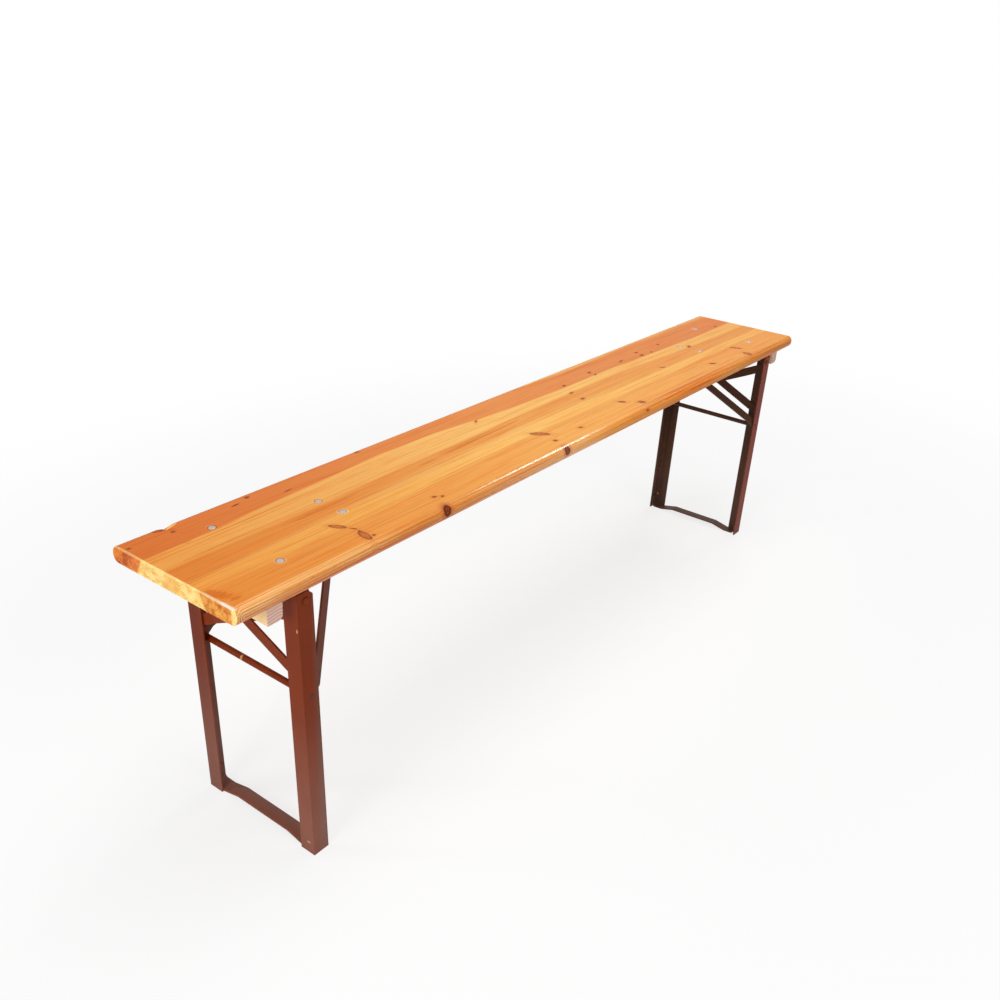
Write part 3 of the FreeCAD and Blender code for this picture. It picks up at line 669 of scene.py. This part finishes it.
def brown_paint():
    """Red-brown enamel on steel: fine orange peel, dust low on the legs, chips along edges."""
    finish = new_finish("brown_paint")
    place = finish.millimetres()
    x, y, z = finish.split(place)
    cloud = finish.noise(place, (90, 90, 90), 3)
    peel = finish.noise(place, (2.4, 2.4, 2.4))
    grit = finish.noise(place, (0.8, 0.8, 0.8), 3, 0.7)
    spots = finish.noise(place, (3, 3, 4), 4, 0.6)
    scratch = finish.noise(place, (1.1, 1.1, 26), 3, 0.6)
    wear, struck = (finish.node("Attribute", {"attribute_name": name}, output="Fac")
                    for name in ("wear", "struck"))

    outside = y.fade(1.5 - LEG_OUTER_Y, 0.6 - LEG_OUTER_Y)
    # Painted shade on the near frame's back leg
    back_leg_shade = y.fade(80, 108) * x.fade(-300, -500)
    # Painted shade, greyed by a painted reflection, on the near stay arms and the straps and
    # catches under the board
    under_board_shade = x.fade(-704, -690) * x.fade(-300, -420)
    low = z.fade(300, 10) * x.fade(100, -500, 0.35, 1)
    dust = (low * 0.34 + cloud * 0.08 * low + grit * 0.06 * low).most(0)
    chip = (spots + wear * 0.32).fade(0.66, 0.72)
    # Lighter scratches, and lighter edges that are partly wear and partly a painted highlight
    scuff_and_edge_sheen = (scratch.fade(0.58, 0.8) * 0.16 + wear * 0.16).least(1)
    # The distance from the hinge's axis, for a painted shadow ring round the rivet heads
    ring = distance(x.size() - HINGE_X, z - HINGE_Z) + grit * 0.4
    knocked = (spot_distance(finish, place, PAINT_MARKS) + spots * 0.5).fade(1.1, 0.7)
    bare = (struck * (spots * 0.9 + 0.62)).fade(0.35, 0.65)

    red = finish.mix(cloud * 0.5 + 0.5, (115, 41, 8), (131, 51, 13))
    # A darker, olive copy of the paint: painted shade for the far frame
    far_frame_shade = finish.mix(cloud * 0.5 + 0.5, (66, 43, 32), (84, 54, 38))
    steel = finish.mix(grit.fade(0.1, 0.5), (62, 50, 52), (150, 134, 130))
    shade = finish.layers(
        red,
        # Painted shade on the far frame, whose outer leg faces stay red
        (x.fade(-100, 400) * (1 - outside), far_frame_shade),
        (x.fade(100, 400) * outside, (124, 40, 8)),
        (back_leg_shade * 0.5, (88, 28, 4)),
        (under_board_shade * 0.6, (104, 76, 68)),
        (dust, (176, 138, 124)),
        (chip * 0.8, (168, 132, 108)),
        (scuff_and_edge_sheen, (166, 100, 66)),
        # Painted shadow round the hinge rivet heads
        (ring.fade(4.5, 5) * ring.fade(6.6, 5.4) * 0.55, (44, 22, 18)),
        (knocked * 0.85, (214, 170, 104)),
        (bare * 0.8, steel))
    return finish.surface(
        Base_Color=shade,
        Roughness=(dust * 0.5 + peel * 0.04 + chip * 0.2 + 0.42).least(0.9),
        IOR=1.45,
        Specular_IOR_Level=0.1,
        Normal=finish.bump(peel * 0.35 + grit * 0.08 - chip * 0.6, 0.00016))


def zinc():
    """Zinc plated steel, gone a little dull."""
    finish = new_finish("zinc_plate")
    place = finish.millimetres()
    cloud = finish.noise(place, (4, 4, 4), 3, 0.6)
    grit = finish.noise(place, (0.5, 0.5, 0.5), 2, 0.6)
    shade = finish.mix(cloud * 0.5 + 0.5, (162, 150, 146), (196, 182, 172))
    stained = finish.mix(grit.fade(0.2, 0.8) * 0.5, shade, (126, 116, 108))
    return finish.surface(
        Base_Color=stained,
        Metallic=0.6,
        Roughness=cloud * 0.1 + 0.46,
        Normal=finish.bump(grit * 0.4 + cloud * 0.4, 0.00006))


def spring_steel():
    """Blued spring strip."""
    finish = new_finish("spring_strip")
    place = finish.millimetres()
    cloud = finish.noise(place, (8, 3, 8), 3, 0.6)
    line = finish.noise(place, (30, 0.4, 0.4), 2, 0.6)
    shade = finish.mix(cloud * 0.5 + 0.5, (84, 82, 84), (122, 112, 104))
    return finish.surface(
        Base_Color=shade,
        Metallic=0.9,
        Roughness=cloud * 0.08 + line * 0.04 + 0.38,
        Normal=finish.bump(line * 0.5, 0.00004))


def dress(name, material):
    """Gives a CAD node's object a material."""
    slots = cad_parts[name].material_slots
    if len(slots) == 0:
        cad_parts[name].data.materials.append(material)
    for slot in slots:
        slot.link = "OBJECT"
        slot.material = material


# Edges that turn more than this, in degrees, are shaded as sharp
SHARP_TURN = 32


def add_piece(name, shape, body, look, replaced):
    """Makes a shape in millimetres into a piece that moves with a body.

    A look is a slot's name, which is not used, and its material."""
    slot, material = look
    bmesh.ops.scale(shape, vec=(0.001, 0.001, 0.001), verts=shape.verts)
    mesh = as_mesh(name, shape)
    mesh.shade_smooth()
    mesh.set_sharp_from_angle(angle=math.radians(SHARP_TURN))
    mesh.materials.append(material)
    made = add_object(name, mesh)
    evened = made.modifiers.new("even_shading", "WEIGHTED_NORMAL")
    evened.keep_sharp = True
    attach(made, body)
    if replaced:
        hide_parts(*replaced)


def rounded(shape, edges, radius, segments):
    """Rounds edges, and gives the new faces."""
    made = bmesh.ops.bevel(shape, geom=edges, offset=radius, segments=segments, profile=0.5,
                           affect="EDGES", material=-1, clamp_overlap=True)
    return made["faces"]


def keep_side(shape, place, outward):
    """Cuts a shape at a plane, keeps what lies behind it, and closes the cut."""
    everything = shape.verts[:] + shape.edges[:] + shape.faces[:]
    cut = bmesh.ops.bisect_plane(shape, geom=everything, plane_co=place, plane_no=outward,
                                 clear_outer=True, dist=1e-4)
    rim = [item for item in cut["geom_cut"] if isinstance(item, bmesh.types.BMEdge)]
    bmesh.ops.holes_fill(shape, edges=rim, sides=0)
    return rim


def cut_across(shape, x):
    """Adds a row of edges across a shape at a place along X."""
    everything = shape.verts[:] + shape.edges[:] + shape.faces[:]
    bmesh.ops.bisect_plane(shape, geom=everything, plane_co=(x, 0, 0), plane_no=(1, 0, 0),
                           dist=1e-4)


def block(size, middle):
    """A box on the Z axis, with its middle at that height."""
    shape = bmesh.new()
    bmesh.ops.create_cube(shape, size=1)
    bmesh.ops.scale(shape, vec=size, verts=shape.verts)
    bmesh.ops.translate(shape, vec=(0, 0, middle), verts=shape.verts)
    return shape


def board_blank():
    """The board before it is parted into staves, rounded along its edges and ends."""
    shape = block((BOARD_LENGTH, BOARD_WIDTH, BOARD_THICKNESS), BOARD_TOP - BOARD_THICKNESS / 2)
    rounded(shape, [edge for edge in shape.edges if edge.calc_length() > BOARD_LENGTH / 2],
            LONG_EDGE_RADIUS, 12)
    rims = {edge for face in shape.faces if abs(face.normal.x) > 0.9 for edge in face.edges}
    rounded(shape, list(rims), END_EDGE_RADIUS, 4)
    return shape


def tear_out(shape):
    """Breaks the splinter out of the top back edge: deep at its left, shallower to its right."""
    outward = Vector((0, 1, 1)).normalized()
    middle = Vector((0, BOARD_WIDTH / 2 - LONG_EDGE_RADIUS, BOARD_TOP - LONG_EDGE_RADIUS))
    for vert in shape.verts:
        share = (vert.co.x - TEAR_X) / TEAR_LENGTH + 0.5
        if not 0 < share < 1:
            continue
        splinter = noise.noise(Vector((vert.co.x / 13, vert.co.y / 1.3, vert.co.z / 1.3)))
        depth = (TEAR_DEPTH + splinter) * min(share / 0.22, (1 - share) / 0.78)
        over = (vert.co - middle).dot(outward) - (LONG_EDGE_RADIUS - depth)
        if over > 0:
            vert.co -= outward * over


# Small dents along the board's edges: X, Y, Z, how wide and how deep
DENTS = (
    (-822, -112, 472, 9, 1), (-700, -123, 468, 6, 0.5),
    (-322, -124, 460, 7, 0.6), (214, -122, 470, 8, 0.6),
    (531, -124.5, 462, 6, 0.5), (822, 96, 474, 9, 0.8),
    (-480, 123, 469, 7, 0.6), (402, 124, 465, 8, 0.7),
    (-824, 20, 474, 6, 0.5), (823.5, -60, 474, 7, 0.6),
)


def dent(shape):
    """Presses the small dents into the board's edges."""
    middle = Vector((0, 0, BOARD_TOP - BOARD_THICKNESS / 2))
    for x, y, z, width, depth in DENTS:
        place = Vector((x, y, z))
        inward = (middle - Vector((x * 0.02, y, z))).normalized()
        for vert in shape.verts:
            share = (vert.co - place).length / width
            if share < 1:
                vert.co += inward * (depth * (1 - share * share) ** 2)


def without(shape, tools):
    """Cuts other shapes out of a shape, and gives the rest as a new shape."""
    objects = [add_object("blank", as_mesh("blank", item)) for item in [shape] + tools]
    for tool in objects[1:]:
        cut = objects[0].modifiers.new("cut", "BOOLEAN")
        cut.operation = "DIFFERENCE"
        cut.object = tool
    seen = objects[0].evaluated_get(bpy.context.evaluated_depsgraph_get())
    rest = bmesh.new()
    rest.from_mesh(seen.to_mesh())
    seen.to_mesh_clear()
    for blank in objects:
        mesh = blank.data
        bpy.data.objects.remove(blank)
        bpy.data.meshes.remove(mesh)
    return rest


def upright(radius, bottom, top, place):
    """An upright cylinder to cut with."""
    tool = bmesh.new()
    bmesh.ops.create_cone(tool, cap_ends=True, segments=48, radius1=radius, radius2=radius,
                          depth=top - bottom)
    bmesh.ops.translate(tool, vec=(*place, (top + bottom) / 2), verts=tool.verts)
    return tool


def head_cutters(front, back):
    """What the heads of the bolts and rivets need cut out of a stave: a recess, and a hole."""
    tools = []
    for head_x, head_y in BOARD_HEADS:
        if front - HEAD_RADIUS < head_y < back + HEAD_RADIUS:
            for place in ((-head_x, head_y), (head_x, head_y)):
                tools.append(upright(HEAD_RADIUS - 0.5, BOARD_TOP - 2.3, BOARD_TOP + 2, place))
                if front + 3 < head_y < back - 3:
                    tools.append(upright(3.05, BOARD_TOP - 40, BOARD_TOP - 2, place))
    return tools


def make_board():
    """The five glued staves, each with its share of the rounding, dents, tear and bolt holes."""
    for number in range(FRONT_STAVE, BACK_STAVE + 1):
        front, back = STAVE_EDGES[number - 1], STAVE_EDGES[number]
        shape = board_blank()
        if number > FRONT_STAVE:
            rounded(shape, keep_side(shape, (0, front, 0), (0, -1, 0)), 0.2, 1)
        if number < BACK_STAVE:
            rounded(shape, keep_side(shape, (0, back, 0), (0, 1, 0)), 0.2, 1)
        spacing = 5 if number in (FRONT_STAVE, BACK_STAVE) else 25
        for step in range(1, int(BOARD_LENGTH / spacing)):
            cut_across(shape, -BOARD_END + step * spacing + 0.01)
        if number == BACK_STAVE:
            for step in range(30):
                cut_across(shape, TEAR_X - TEAR_LENGTH / 2 + 0.7 + step * TEAR_LENGTH / 30)
            tear_out(shape)
        dent(shape)
        bmesh.ops.recalc_face_normals(shape, faces=shape.faces)
        tools = head_cutters(front, back)
        if tools:
            shape = without(shape, tools)
        add_piece("board_stave_%d" % number, shape, "seat",
                  ("varnished_wood", Stave(number).material()), ["seat_stave_%d" % number])


def turned(profile, steps=40):
    """Spins a profile of (radius, height) round the Z axis."""
    shape = bmesh.new()
    verts = [shape.verts.new((radius, 0, height)) for radius, height in profile]
    edges = [shape.edges.new(pair) for pair in zip(verts, verts[1:])]
    bmesh.ops.spin(shape, geom=verts + edges, cent=(0, 0, 0), axis=(0, 0, 1), dvec=(0, 0, 0),
                   angle=math.tau, steps=steps, use_merge=True)
    bmesh.ops.remove_doubles(shape, verts=shape.verts, dist=1e-4)
    bmesh.ops.recalc_face_normals(shape, faces=shape.faces)
    return shape


def beaten(shape, low, high, amount, lump, bare=0):
    """Roughens the part of an upright shape between two heights, as a hammer leaves it.

    How far the paint came off there is kept in an attribute named struck."""
    struck = shape.verts.layers.float.get("struck") or shape.verts.layers.float.new("struck")
    for vert in shape.verts:
        if low <= vert.co.z <= high:
            push = noise.noise(vert.co / lump)
            vert.co += vert.normal * (push - 0.6) * amount
            vert[struck] = bare


def joined(shapes):
    """Several shapes as one."""
    whole = bmesh.new()
    for shape in shapes:
        mesh = as_mesh("part", shape)
        whole.from_mesh(mesh)
        bpy.data.meshes.remove(mesh)
    return whole


def placed(shape, matrix):
    """Puts a shape in its place. A mirroring matrix leaves it inside out, so that is mended."""
    bmesh.ops.transform(shape, matrix=matrix, verts=shape.verts)
    bmesh.ops.recalc_face_normals(shape, faces=shape.faces)
    return shape


# The top of a bolt's or rivet's head, as (radius, height) over the board, down to its shank
BOLT_CROWN = ((0, 0.4), (2.6, 0.38), (4.4, 0.28), (5.2, 0.08), (5.6, -0.4), (5.6, -2.1),
              (3, -2.1))


def headed(below):
    """A bolt or rivet through the board: its beaten head, and then the profile below."""
    crown = tuple((radius, BOARD_TOP + height) for radius, height in BOLT_CROWN)
    shape = turned(crown + below)
    beaten(shape, BOARD_TOP - 1, BOARD_TOP + 1, 0.12, 2.5)
    return shape


def thread(radius, top, bottom, pitch):
    """Down the side of a thread, crest by crest."""
    points = []
    height = top
    while height - pitch > bottom:
        points += [(radius, height), (radius - 0.45, height - pitch / 2)]
        height -= pitch
    return tuple(points)


def strap_bolt():
    """The bolt through board and strap, with its thread below the strap."""
    tip = BOARD_UNDER - 10
    return headed(((3, BOARD_UNDER - 2),) + thread(3, STRAP_UNDER, tip + 0.4, 1)
                  + ((2.2, tip), (0, tip)))


def catch_rivet():
    """The rivet through board and catch bracket, hammered over below."""
    foot = ((3, 0), (4.9, -0.05), (4.7, -0.8), (3.8, -1.7), (2.2, -2.3), (0, -2.4))
    shape = headed(tuple((radius, STRAP_UNDER + height) for radius, height in foot))
    beaten(shape, STRAP_UNDER - 3, STRAP_UNDER - 0.5, 0.3, 2.2)
    return shape


def hinge_rivet():
    """The rivet through leg and ear, with its axis along Z."""
    shape = turned(((0, 121.15), (1.6, 120.95), (2.6, 121), (3.8, 120.6), (4.6, 119.9),
                    (5, 119), (4.9, 118.8), (3, 118.8), (3, 112.2), (4.9, 112.2),
                    (5, 111.9), (4.2, 110.7), (2.4, 109.95), (0, 109.85)))
    beaten(shape, 119.3, 122, 0.35, 2, 0.35)
    beaten(shape, 109, 111.5, 0.3, 2, 0.35)
    return shape


def make_fasteners(looks):
    """Bolts, nuts, rivets and screws, each in the place of its plain solid."""
    kinds = (("bolt", "strap_bolt", strap_bolt, STRAP_BOLT),
             ("nut", "strap_nut", hexagon_nut, STRAP_BOLT),
             ("catch_pin", "catch_rivet", catch_rivet, CATCH_RIVET),
             ("screw", "batten_screw", cross_screw, BATTEN_SCREW))
    for end, x_sign in ENDS.items():
        for side, y_sign in SIDES.items():
            for name, node, make, (x, y) in kinds:
                place = Matrix.Translation((x_sign * x, y_sign * y, 0))
                add_piece("%s_%s_%s" % (name, end, side), placed(make(), place), "seat",
                          looks["zinc"], ["%s_%s_%s" % (node, end, side)])
            place = (Matrix.Translation((x_sign * HINGE_X, 0, HINGE_Z))
                     @ Matrix.Rotation(math.radians(-90 * y_sign), 4, "X"))
            add_piece("hinge_pin_%s_%s" % (side, end), placed(hinge_rivet(), place), "seat",
                      looks["paint"], ["hinge_rivet_%s_%s" % (side, end)])


def hexagon_nut():
    """The nut under the strap, with its corners chamfered."""
    height = 5
    shape = bmesh.new()
    bmesh.ops.create_circle(shape, segments=24, radius=3.02)
    outline = bmesh.ops.create_circle(shape, segments=6, radius=5.75)["verts"]
    sides = [edge for edge in shape.edges if edge.verts[0] in outline]
    bmesh.ops.subdivide_edges(shape, edges=sides, cuts=3)
    ring = bmesh.ops.bridge_loops(shape, edges=shape.edges[:])["faces"]
    raised = bmesh.ops.extrude_face_region(shape, geom=ring)["geom"]
    bmesh.ops.translate(shape, vec=(0, 0, height),
                        verts=[item for item in raised if isinstance(item, bmesh.types.BMVert)])
    bmesh.ops.translate(shape, vec=(0, 0, STRAP_UNDER - height), verts=shape.verts)
    bmesh.ops.recalc_face_normals(shape, faces=shape.faces)
    rims = [edge for edge in shape.edges if all(vert.co.xy.length > 4.5 for vert in edge.verts)
            and abs(edge.verts[0].co.z - edge.verts[1].co.z) < 0.1]
    rounded(shape, rims, 0.45, 1)
    return shape


def cross_screw():
    """A countersunk wood screw with a cross in its head, driven upwards through the batten."""
    bottom = BOARD_UNDER - SCREW_HEAD_DOWN
    tip = bottom + SCREW_LENGTH
    shape = turned(((0, bottom + 0.15), (3.6, bottom + 0.15), (3.95, bottom + 0.4),
                    (2, bottom + 2.2), (2, tip), (0, tip)))
    cross = ((4.4, 0.95, 2), (0.95, 4.4, 2))
    return without(shape, [block(size, bottom + 0.5) for size in cross])


def frame_place(end_sign):
    """From an upright right-hand frame to its place at one end, leaning in."""
    hinge = Matrix.Translation((HINGE_X, 0, HINGE_Z))
    leaning = hinge @ Matrix.Rotation(math.radians(LEG_LEAN), 4, "Y") @ hinge.inverted()
    return Matrix.Diagonal((end_sign, 1, 1, 1)) @ leaning


def make_rod(end, end_sign, looks):
    """The cross rod: turned down at its ends, which are beaten over outside the legs."""
    shoulder = 115.2
    half = ((0, 119.4), (2.4, 119.5), (3.8, 119.2), (4.4, 118.9), (4.5, LEG_OUTER_Y),
            (3.5, LEG_OUTER_Y), (3.5, 115.5), (4.7, 115.5), (5, shoulder))
    steps = tuple((5, shoulder - shoulder / 8 * step) for step in range(1, 16))
    shape = turned(half + steps + tuple((radius, -height) for radius, height in reversed(half)))
    for low, high in ((LEG_OUTER_Y + 0.05, 120), (-120, -LEG_OUTER_Y - 0.05)):
        beaten(shape, low, high, 0.5, 1.6, 0.9)
    lying = (Matrix.Translation((HINGE_X, 0, HINGE_Z - HINGE_TO_ROD))
             @ Matrix.Rotation(math.pi / 2, 4, "X"))
    add_piece("rod_" + end, placed(shape, frame_place(end_sign) @ lying), "frame_" + end,
              looks["paint"], ["cross_rod_" + end])


def node_middle(name):
    """The middle of a CAD node's box, in millimetres."""
    low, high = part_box(name)
    return [(a + b) * 500 for a, b in zip(low, high)]


def make_brace_rivet(end, end_sign, looks):
    """The rivet where the crossed strips meet."""
    shape = turned(((0, 2.2), (2, 2.1), (3.6, 1.6), (4.9, 0.7), (5.5, 0), (3, 0), (3, -6),
                    (5.5, -6), (5, -6.8), (3.6, -7.8), (1.8, -8.2), (0, -8.3)))
    for low, high in ((0.3, 3), (-9, -6.2)):
        beaten(shape, low, high, 0.3, 2.4, 0.3)
    middle = node_middle("brace_rivet_" + end)
    lying = (Matrix.Translation((end_sign * middle[0] + 3.05, 0, middle[2]))
             @ Matrix.Rotation(math.radians(90 + LEG_LEAN), 4, "Y"))
    add_piece("brace_pin_" + end, placed(shape, Matrix.Diagonal((end_sign, 1, 1, 1)) @ lying),
              "frame_" + end, looks["paint"], ["brace_rivet_" + end])


def weld_bead(start, end, radius):
    """A bead of weld between two points, rippled where the metal was laid down."""
    way = Vector(end) - Vector(start)
    shape = bmesh.new()
    bmesh.ops.create_circle(shape, cap_ends=True, segments=10, radius=radius * 0.4)
    shape.faces.ensure_lookup_table()
    face = shape.faces[0]
    steps = int(way.length / 0.45)
    for step in range(1, steps + 1):
        ripple = 1 - 0.16 * (step % 4) / 3
        swell = min(1, 0.55 + 0.15 * min(step, steps - step))
        drift = 0.25 * noise.noise(Vector((start[1], start[2], step / 5)))
        face = bmesh.ops.extrude_discrete_faces(shape, faces=[face])["faces"][0]
        now = sum(vert.co.xy.length for vert in face.verts) / len(face.verts)
        share = radius * (ripple * swell + drift) / now
        bmesh.ops.scale(shape, vec=(share, share, 1), verts=face.verts)
        bmesh.ops.translate(shape, vec=(0, 0, way.length / steps), verts=face.verts)
    turn = Vector((0, 0, 1)).rotation_difference(way).to_matrix().to_4x4()
    return placed(shape, Matrix.Translation(start) @ turn)


def weld_ring():
    """A ring of weld round the stay's tip pin, on the Z axis."""
    shape = turned(((3.9, -1.3), (4.8, -1.2), (5.3, -0.4), (5.2, 0.5), (4.6, 1.2), (3.9, 1.3),
                    (3.9, -1.3)), 48)
    beaten(shape, -2, 2, 0.35, 1.7)
    return shape


# Beads on the right-hand frame's front: X from the hinge, Y, Z, X and Z of the other end, radius
BRACE_BEADS = tuple((11, 111.7, z - 8.5, 11, z + 8.5, 1.6) for z in (420.2, 313.8))
FOOT_BEADS = ((-8, 114.4, 28.7, 10, 29.3, 1.5), (-10, 114.4, 12, -10, 27, 1.4))


def make_welds(end, end_sign, looks):
    """The beads that hold the strips to the legs, and the tip pin between the arms."""
    beads = [weld_bead((HINGE_X + x, sign * y, z), (HINGE_X + end_x, sign * y, end_z), radius)
             for sign in SIDES.values()
             for x, y, z, end_x, end_z, radius in BRACE_BEADS + FOOT_BEADS]
    add_piece("frame_welds_" + end, placed(joined(beads), frame_place(end_sign)), "frame_" + end,
              looks["paint"], [])

    tip = node_middle("stay_tip_pin_" + end)
    lying = Matrix.Translation((tip[0], 0, tip[2])) @ Matrix.Rotation(math.pi / 2, 4, "X")
    rings = [placed(weld_ring(), lying @ Matrix.Translation((0, 0, offset)))
             for offset in (-4.6, 4.6)]
    add_piece("tip_welds_" + end, joined(rings), "stay_" + end, looks["paint"], [])


def eased_copy(name, node, body, look, ease):
    """A CAD part again, with the softened edges that rolled and sawn stock has.

    The faces of the edges carry an attribute named wear, which the paint reads."""
    shape = bmesh.new()
    shape.from_mesh(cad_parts[node].data)
    bmesh.ops.scale(shape, vec=(1000, 1000, 1000), verts=shape.verts)
    bmesh.ops.remove_doubles(shape, verts=shape.verts, dist=0.002)
    bmesh.ops.dissolve_limit(shape, angle_limit=math.radians(1), verts=shape.verts,
                             edges=shape.edges, delimit=set())
    crisp = [edge for edge in shape.edges
             if edge.is_manifold and edge.calc_face_angle(0) > math.radians(50)]
    wear = shape.loops.layers.float.new("wear")
    for face in rounded(shape, crisp, ease, 2):
        for loop in face.loops:
            loop[wear] = 1
    bmesh.ops.triangulate(shape, faces=[face for face in shape.faces if len(face.verts) > 4])
    add_piece(name, shape, body, look, [node])


def make_steel(looks):
    """Legs, strips, arms, straps and catches with softened edges, and what is fixed to them."""
    for end, end_sign in ENDS.items():
        for body, nodes, ease in (
                ("frame_" + end,
                 ("leg_front", "leg_back", "brace_inner", "brace_outer", "foot_strip"), 0.45),
                ("stay_" + end, ("stay_arm_front", "stay_arm_back"), 0.45),
                ("seat", ("hinge_strap", "catch_bracket"), 0.4)):
            for node in nodes:
                eased_copy("%s_%s_steel" % (node, end), "%s_%s" % (node, end), body,
                           looks["paint"], ease)
        eased_copy("batten_%s_wood" % end, "batten_" + end, "seat", looks["raw"], 0.7)
        make_rod(end, end_sign, looks)
        make_brace_rivet(end, end_sign, looks)
        make_welds(end, end_sign, looks)


# The camera: its place in metres, its yaw, pitch and roll in degrees, its focal length and the
# picture's width in pixels, and its sensor's width
CAMERA_PLACE = (-1.4875, -0.9892, 1.1362)
CAMERA_TURN = (53.83, -25.39, 3.09)
FOCAL_LENGTH, PICTURE_WIDTH = 1032.1, 1000
SENSOR_WIDTH = 36


def set_camera():
    """The camera stands where the photograph's camera stood."""
    yaw, pitch, roll = (math.radians(angle) for angle in CAMERA_TURN)
    ahead = Vector((math.sin(yaw) * math.cos(pitch), math.cos(yaw) * math.cos(pitch),
                    math.sin(pitch)))
    level = Vector((math.cos(yaw), -math.sin(yaw), 0))
    upward = level.cross(ahead)
    right = level * math.cos(roll) + upward * math.sin(roll)
    up = upward * math.cos(roll) - level * math.sin(roll)
    data = bpy.data.cameras.new("camera")
    data.sensor_width = SENSOR_WIDTH
    data.lens = FOCAL_LENGTH / PICTURE_WIDTH * SENSOR_WIDTH
    data.clip_start = 0.01
    data.clip_end = 200
    camera = add_object("camera", data)
    turn = Matrix((right, up, -ahead)).transposed().to_4x4()
    camera.matrix_world = Matrix.Translation(CAMERA_PLACE) @ turn
    bpy.context.scene.camera = camera


def add_lamp(name, place, aim, size, share):
    """A soft box that faces a point, and lights it like that share of a white sky."""
    reach = (Vector(aim) - Vector(place)).length
    data = bpy.data.lights.new(name, "AREA")
    data.shape = "RECTANGLE"
    data.size, data.size_y = size
    data.energy = share * (math.pi * reach) ** 2
    lamp = add_object(name, data)
    lamp.location = place
    lamp.rotation_euler = (Vector(aim) - Vector(place)).to_track_quat("-Z", "Y").to_euler()


def seen_directly(finish):
    """1 for what the camera, a mirror or glass sees, and 0 for light on the object."""
    camera, glossy, through = (finish.node("LightPath", output="Is %s Ray" % kind)
                               for kind in ("Camera", "Glossy", "Transmission"))
    return camera.most(glossy).most(through)


# How much of its white the world gives as light, and how white the floor looks near the bench
WORLD_LIGHT = 0.14
FLOOR_WHITE = 0.78


def set_world():
    """A white background, which lights the bench only faintly."""
    world = bpy.data.worlds.new("studio")
    bpy.context.scene.world = world
    studio = Finish(world)
    strength = seen_directly(studio) * (1 - WORLD_LIGHT) + WORLD_LIGHT
    light = studio.node("Background", None, {"Color": WHITE, "Strength": strength})
    studio.node("OutputWorld", None, {"Surface": light})


def lay_floor():
    """A pale floor that fades into the white background and keeps the bench's shadow."""
    shape = bmesh.new()
    bmesh.ops.create_grid(shape, x_segments=1, y_segments=1, size=40)
    mesh = as_mesh("floor", shape)
    floor = add_object("floor", mesh)
    finish = new_finish("floor")
    place = finish.node("TexCoord", output="Object")
    x, y, _ = finish.split(place)
    far = (x * x * 0.5 + y * y).root().fade(0.7, 1.7)
    bright = seen_directly(finish) * (far * (1 - FLOOR_WHITE) + FLOOR_WHITE)
    matt = finish.node("BsdfDiffuse", None, {"Color": (0.9, 0.9, 0.9, 1)})
    white = finish.node("Emission", None, {"Color": WHITE, "Strength": 1})
    both = finish.node("MixShader", None, {0: bright, 1: matt, 2: white})
    finish.node("OutputMaterial", None, {"Surface": both})
    mesh.materials.append(finish.owner)


# Lamps: name, place, what they face, width and height, and strength. Places are in metres.
LAMPS = (
    ("overhead", (0.1, -0.2, 3.2), (0.1, 0, 0.47), (2.4, 1.6), 0.62),
    ("left", (-2.9, -0.5, 1.2), (-0.82, 0, 0.35), (0.9, 0.9), 0.54),
    ("front", (-0.8, -2.5, 1.9), (-0.1, -0.1, 0.42), (1.6, 1), 0.26),
    ("window", (2.12, 0.18, 2.37), (-0.18, -0.12, 0.47), (1, 0.55), 0.22),
    ("behind", (-2.1, 1.63, 1.75), (-0.82, -0.1, 0.47), (0.35, 0.35), 0.16),
)


def main():
    for left_over in ("Cube", "Light", "Camera"):
        if left_over in bpy.data.objects:
            bpy.data.objects.remove(bpy.data.objects[left_over])
    bpy.context.scene.view_settings.view_transform = "Standard"
    set_camera()
    set_world()
    for lamp in LAMPS:
        add_lamp(*lamp)
    lay_floor()

    looks = {"raw": ("raw_wood", raw_pine()), "paint": ("brown_paint", brown_paint()),
             "zinc": ("zinc_plated_steel", zinc())}
    spring = spring_steel()
    make_board()
    make_fasteners(looks)
    make_steel(looks)
    for end in ENDS:
        dress("catch_spring_" + end, spring)
        dress("stay_tip_pin_" + end, looks["paint"][1])


main()
